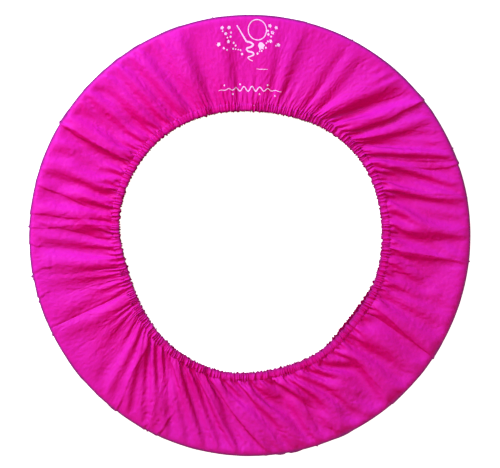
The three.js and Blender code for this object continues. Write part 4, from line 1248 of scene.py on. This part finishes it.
def plastic(name, light, dark, rough, grain=240.0, scuffs=0.35):
    m, nt, out = material(name)
    N = Nodes(nt)
    pos = N.add("ShaderNodeNewGeometry").outputs["Position"]
    n1 = N.noise(pos, grain, 4.0, 0.6)
    n2 = N.noise(pos, 22.0, 3.0)
    along = N.add("ShaderNodeMapping", {"Vector": pos, "Scale": (1, 1, 9)}).outputs[0]
    scuff = N.ramp(N.noise(along, 380.0, 5.0, 0.7, 1.2), 0.60, 0.68)
    base = N.mix(N.math("MULTIPLY", n2, 0.5), light, dark)
    base = N.mix(N.math("MULTIPLY", N.math("MINIMUM", scuff, 1.0, True), scuffs), base, dark)
    r = N.add("ShaderNodeMapRange", {"Value": scuff, "To Min": rough, "To Max": min(1.0, rough + 0.3)}).outputs[0]
    b = N.add("ShaderNodeBump", {"Height": n1, "Strength": 0.15, "Distance": 0.00012})
    p = N.add("ShaderNodeBsdfPrincipled", {"Base Color": base, "Roughness": r, "Normal": b.outputs[0]})
    nt.links.new(p.outputs[0], out.inputs[0])
    return m


def brushed():
    m, nt, out = material("rivet_aluminium")
    N = Nodes(nt)
    pos = N.add("ShaderNodeNewGeometry").outputs["Position"]
    n1 = N.noise(N.add("ShaderNodeMapping", {"Vector": pos, "Scale": (1, 1, 14)}).outputs[0], 900.0, 3.0)
    r = N.add("ShaderNodeMapRange", {"Value": n1, "To Min": 0.22, "To Max": 0.45}).outputs[0]
    b = N.add("ShaderNodeBump", {"Height": n1, "Strength": 0.2, "Distance": 0.00005})
    base = N.mix(n1, (0.48, 0.49, 0.51, 1), (0.74, 0.75, 0.77, 1))
    p = N.add("ShaderNodeBsdfPrincipled", {"Base Color": base, "Metallic": 1.0, "Roughness": r, "Normal": b.outputs[0]})
    nt.links.new(p.outputs[0], out.inputs[0])
    return m


def put(ob, m):
    ob.data.materials.clear()
    ob.data.materials.append(m)


cloth_mat, thread_mat, film_mat, elastic_mat = taffeta(), thread_finish(), film_finish(), elastic_finish()
for ob in cloth_objects.values():
    put(ob, cloth_mat)
for ob in thread_objects:
    put(ob, thread_mat)
for ob in made.values():
    put(ob, film_mat)
for ob in elastic_objects:
    put(ob, elastic_mat)
put(tube_ob, plastic("hoop_pvc", (0.86, 0.86, 0.84, 1), (0.70, 0.70, 0.67, 1), 0.32))
put(plug_ob, plastic("plug_nylon", (0.66, 0.66, 0.63, 1), (0.50, 0.50, 0.48, 1), 0.55))
put(tape_ob, plastic("wrap_tape", (0.80, 0.78, 0.73, 1), (0.60, 0.57, 0.52, 1), 0.42, 600.0, 0.5))
rivet_mat = brushed()
for ob in rivets.values():
    put(ob, rivet_mat)

# ---- stage, light and camera --------------------------------------------------------------------------------
scene = bpy.context.scene
world = bpy.data.worlds.new("studio")
scene.world = world
world.use_nodes = True
world.node_tree.nodes["Background"].inputs[0].default_value = (1.0, 0.93, 0.70, 1)
world.node_tree.nodes["Background"].inputs[1].default_value = 0.46

floor = make_mesh("studio_floor", [(-4000, -4000, 0), (4000, -4000, 0), (4000, 4000, 0), (-4000, 4000, 0)], [(0, 1, 2, 3)], smooth=False)
floor.location.z = (FLOOR_Z - 0.35) * MM
m, nt, out = material("pale_floor")
N = Nodes(nt)
geo = N.add("ShaderNodeNewGeometry")
grain = N.noise(geo.outputs["Position"], 3.0, 2.0)
tint = N.mix(grain, (0.93, 0.93, 0.93, 1), (0.96, 0.96, 0.96, 1))
dif = N.add("ShaderNodeBsdfDiffuse", {"Color": tint})
seen = N.add("ShaderNodeLightPath").outputs["Is Camera Ray"]
glow = N.math("ADD", 0.30, N.math("MULTIPLY", seen, 0.56))
emi = N.add("ShaderNodeEmission", {"Color": (1, 1, 1, 1), "Strength": glow})
both = N.add("ShaderNodeAddShader", {0: dif.outputs[0], 1: emi.outputs[0]})
clear = N.add("ShaderNodeBsdfTransparent")
mx = N.add("ShaderNodeMixShader", {0: geo.outputs["Backfacing"], 1: both.outputs[0], 2: clear.outputs[0]})
nt.links.new(mx.outputs[0], out.inputs[0])
put(floor, m)


def area(name, loc, size, power, aim=(0, 0, 0), color=(1, 1, 1)):
    from mathutils import Vector
    light = bpy.data.lights.new(name, "AREA")
    light.shape, light.size, light.energy, light.color = "DISK", size, power, color
    ob = bpy.data.objects.new(name, light)
    ob.location = loc
    ob.rotation_euler = (Vector(aim) - Vector(loc)).to_track_quat("-Z", "Y").to_euler()
    scene.collection.objects.link(ob)
    return ob


area("key", (-1.63, 1.49, 1.55), 1.1, 67, color=(0.96, 0.90, 1.14))
area("sky", (-0.75, 1.5, 1.0), 0.9, 8.0, color=(0.25, 0.35, 1.9))
area("fill", (-0.1, -0.9, 3.0), 2.4, 11, color=(1.0, 0.85, 0.48))

cam = bpy.data.cameras.new("camera")
cam_ob = bpy.data.objects.new("camera", cam)
scene.collection.objects.link(cam_ob)
DIST = 3.2
cam.sensor_width = 36
cam.lens = 36 * (DIST - 0.005) / (500 * 1.897 * MM)
cam.clip_end = 50
cam_ob.location = (0.2 * 1.897 * MM, 1.4 * 1.897 * MM, DIST)
cam_ob.rotation_euler = (0, 0, 0)
scene.camera = cam_ob
scene.view_settings.view_transform = "Standard"
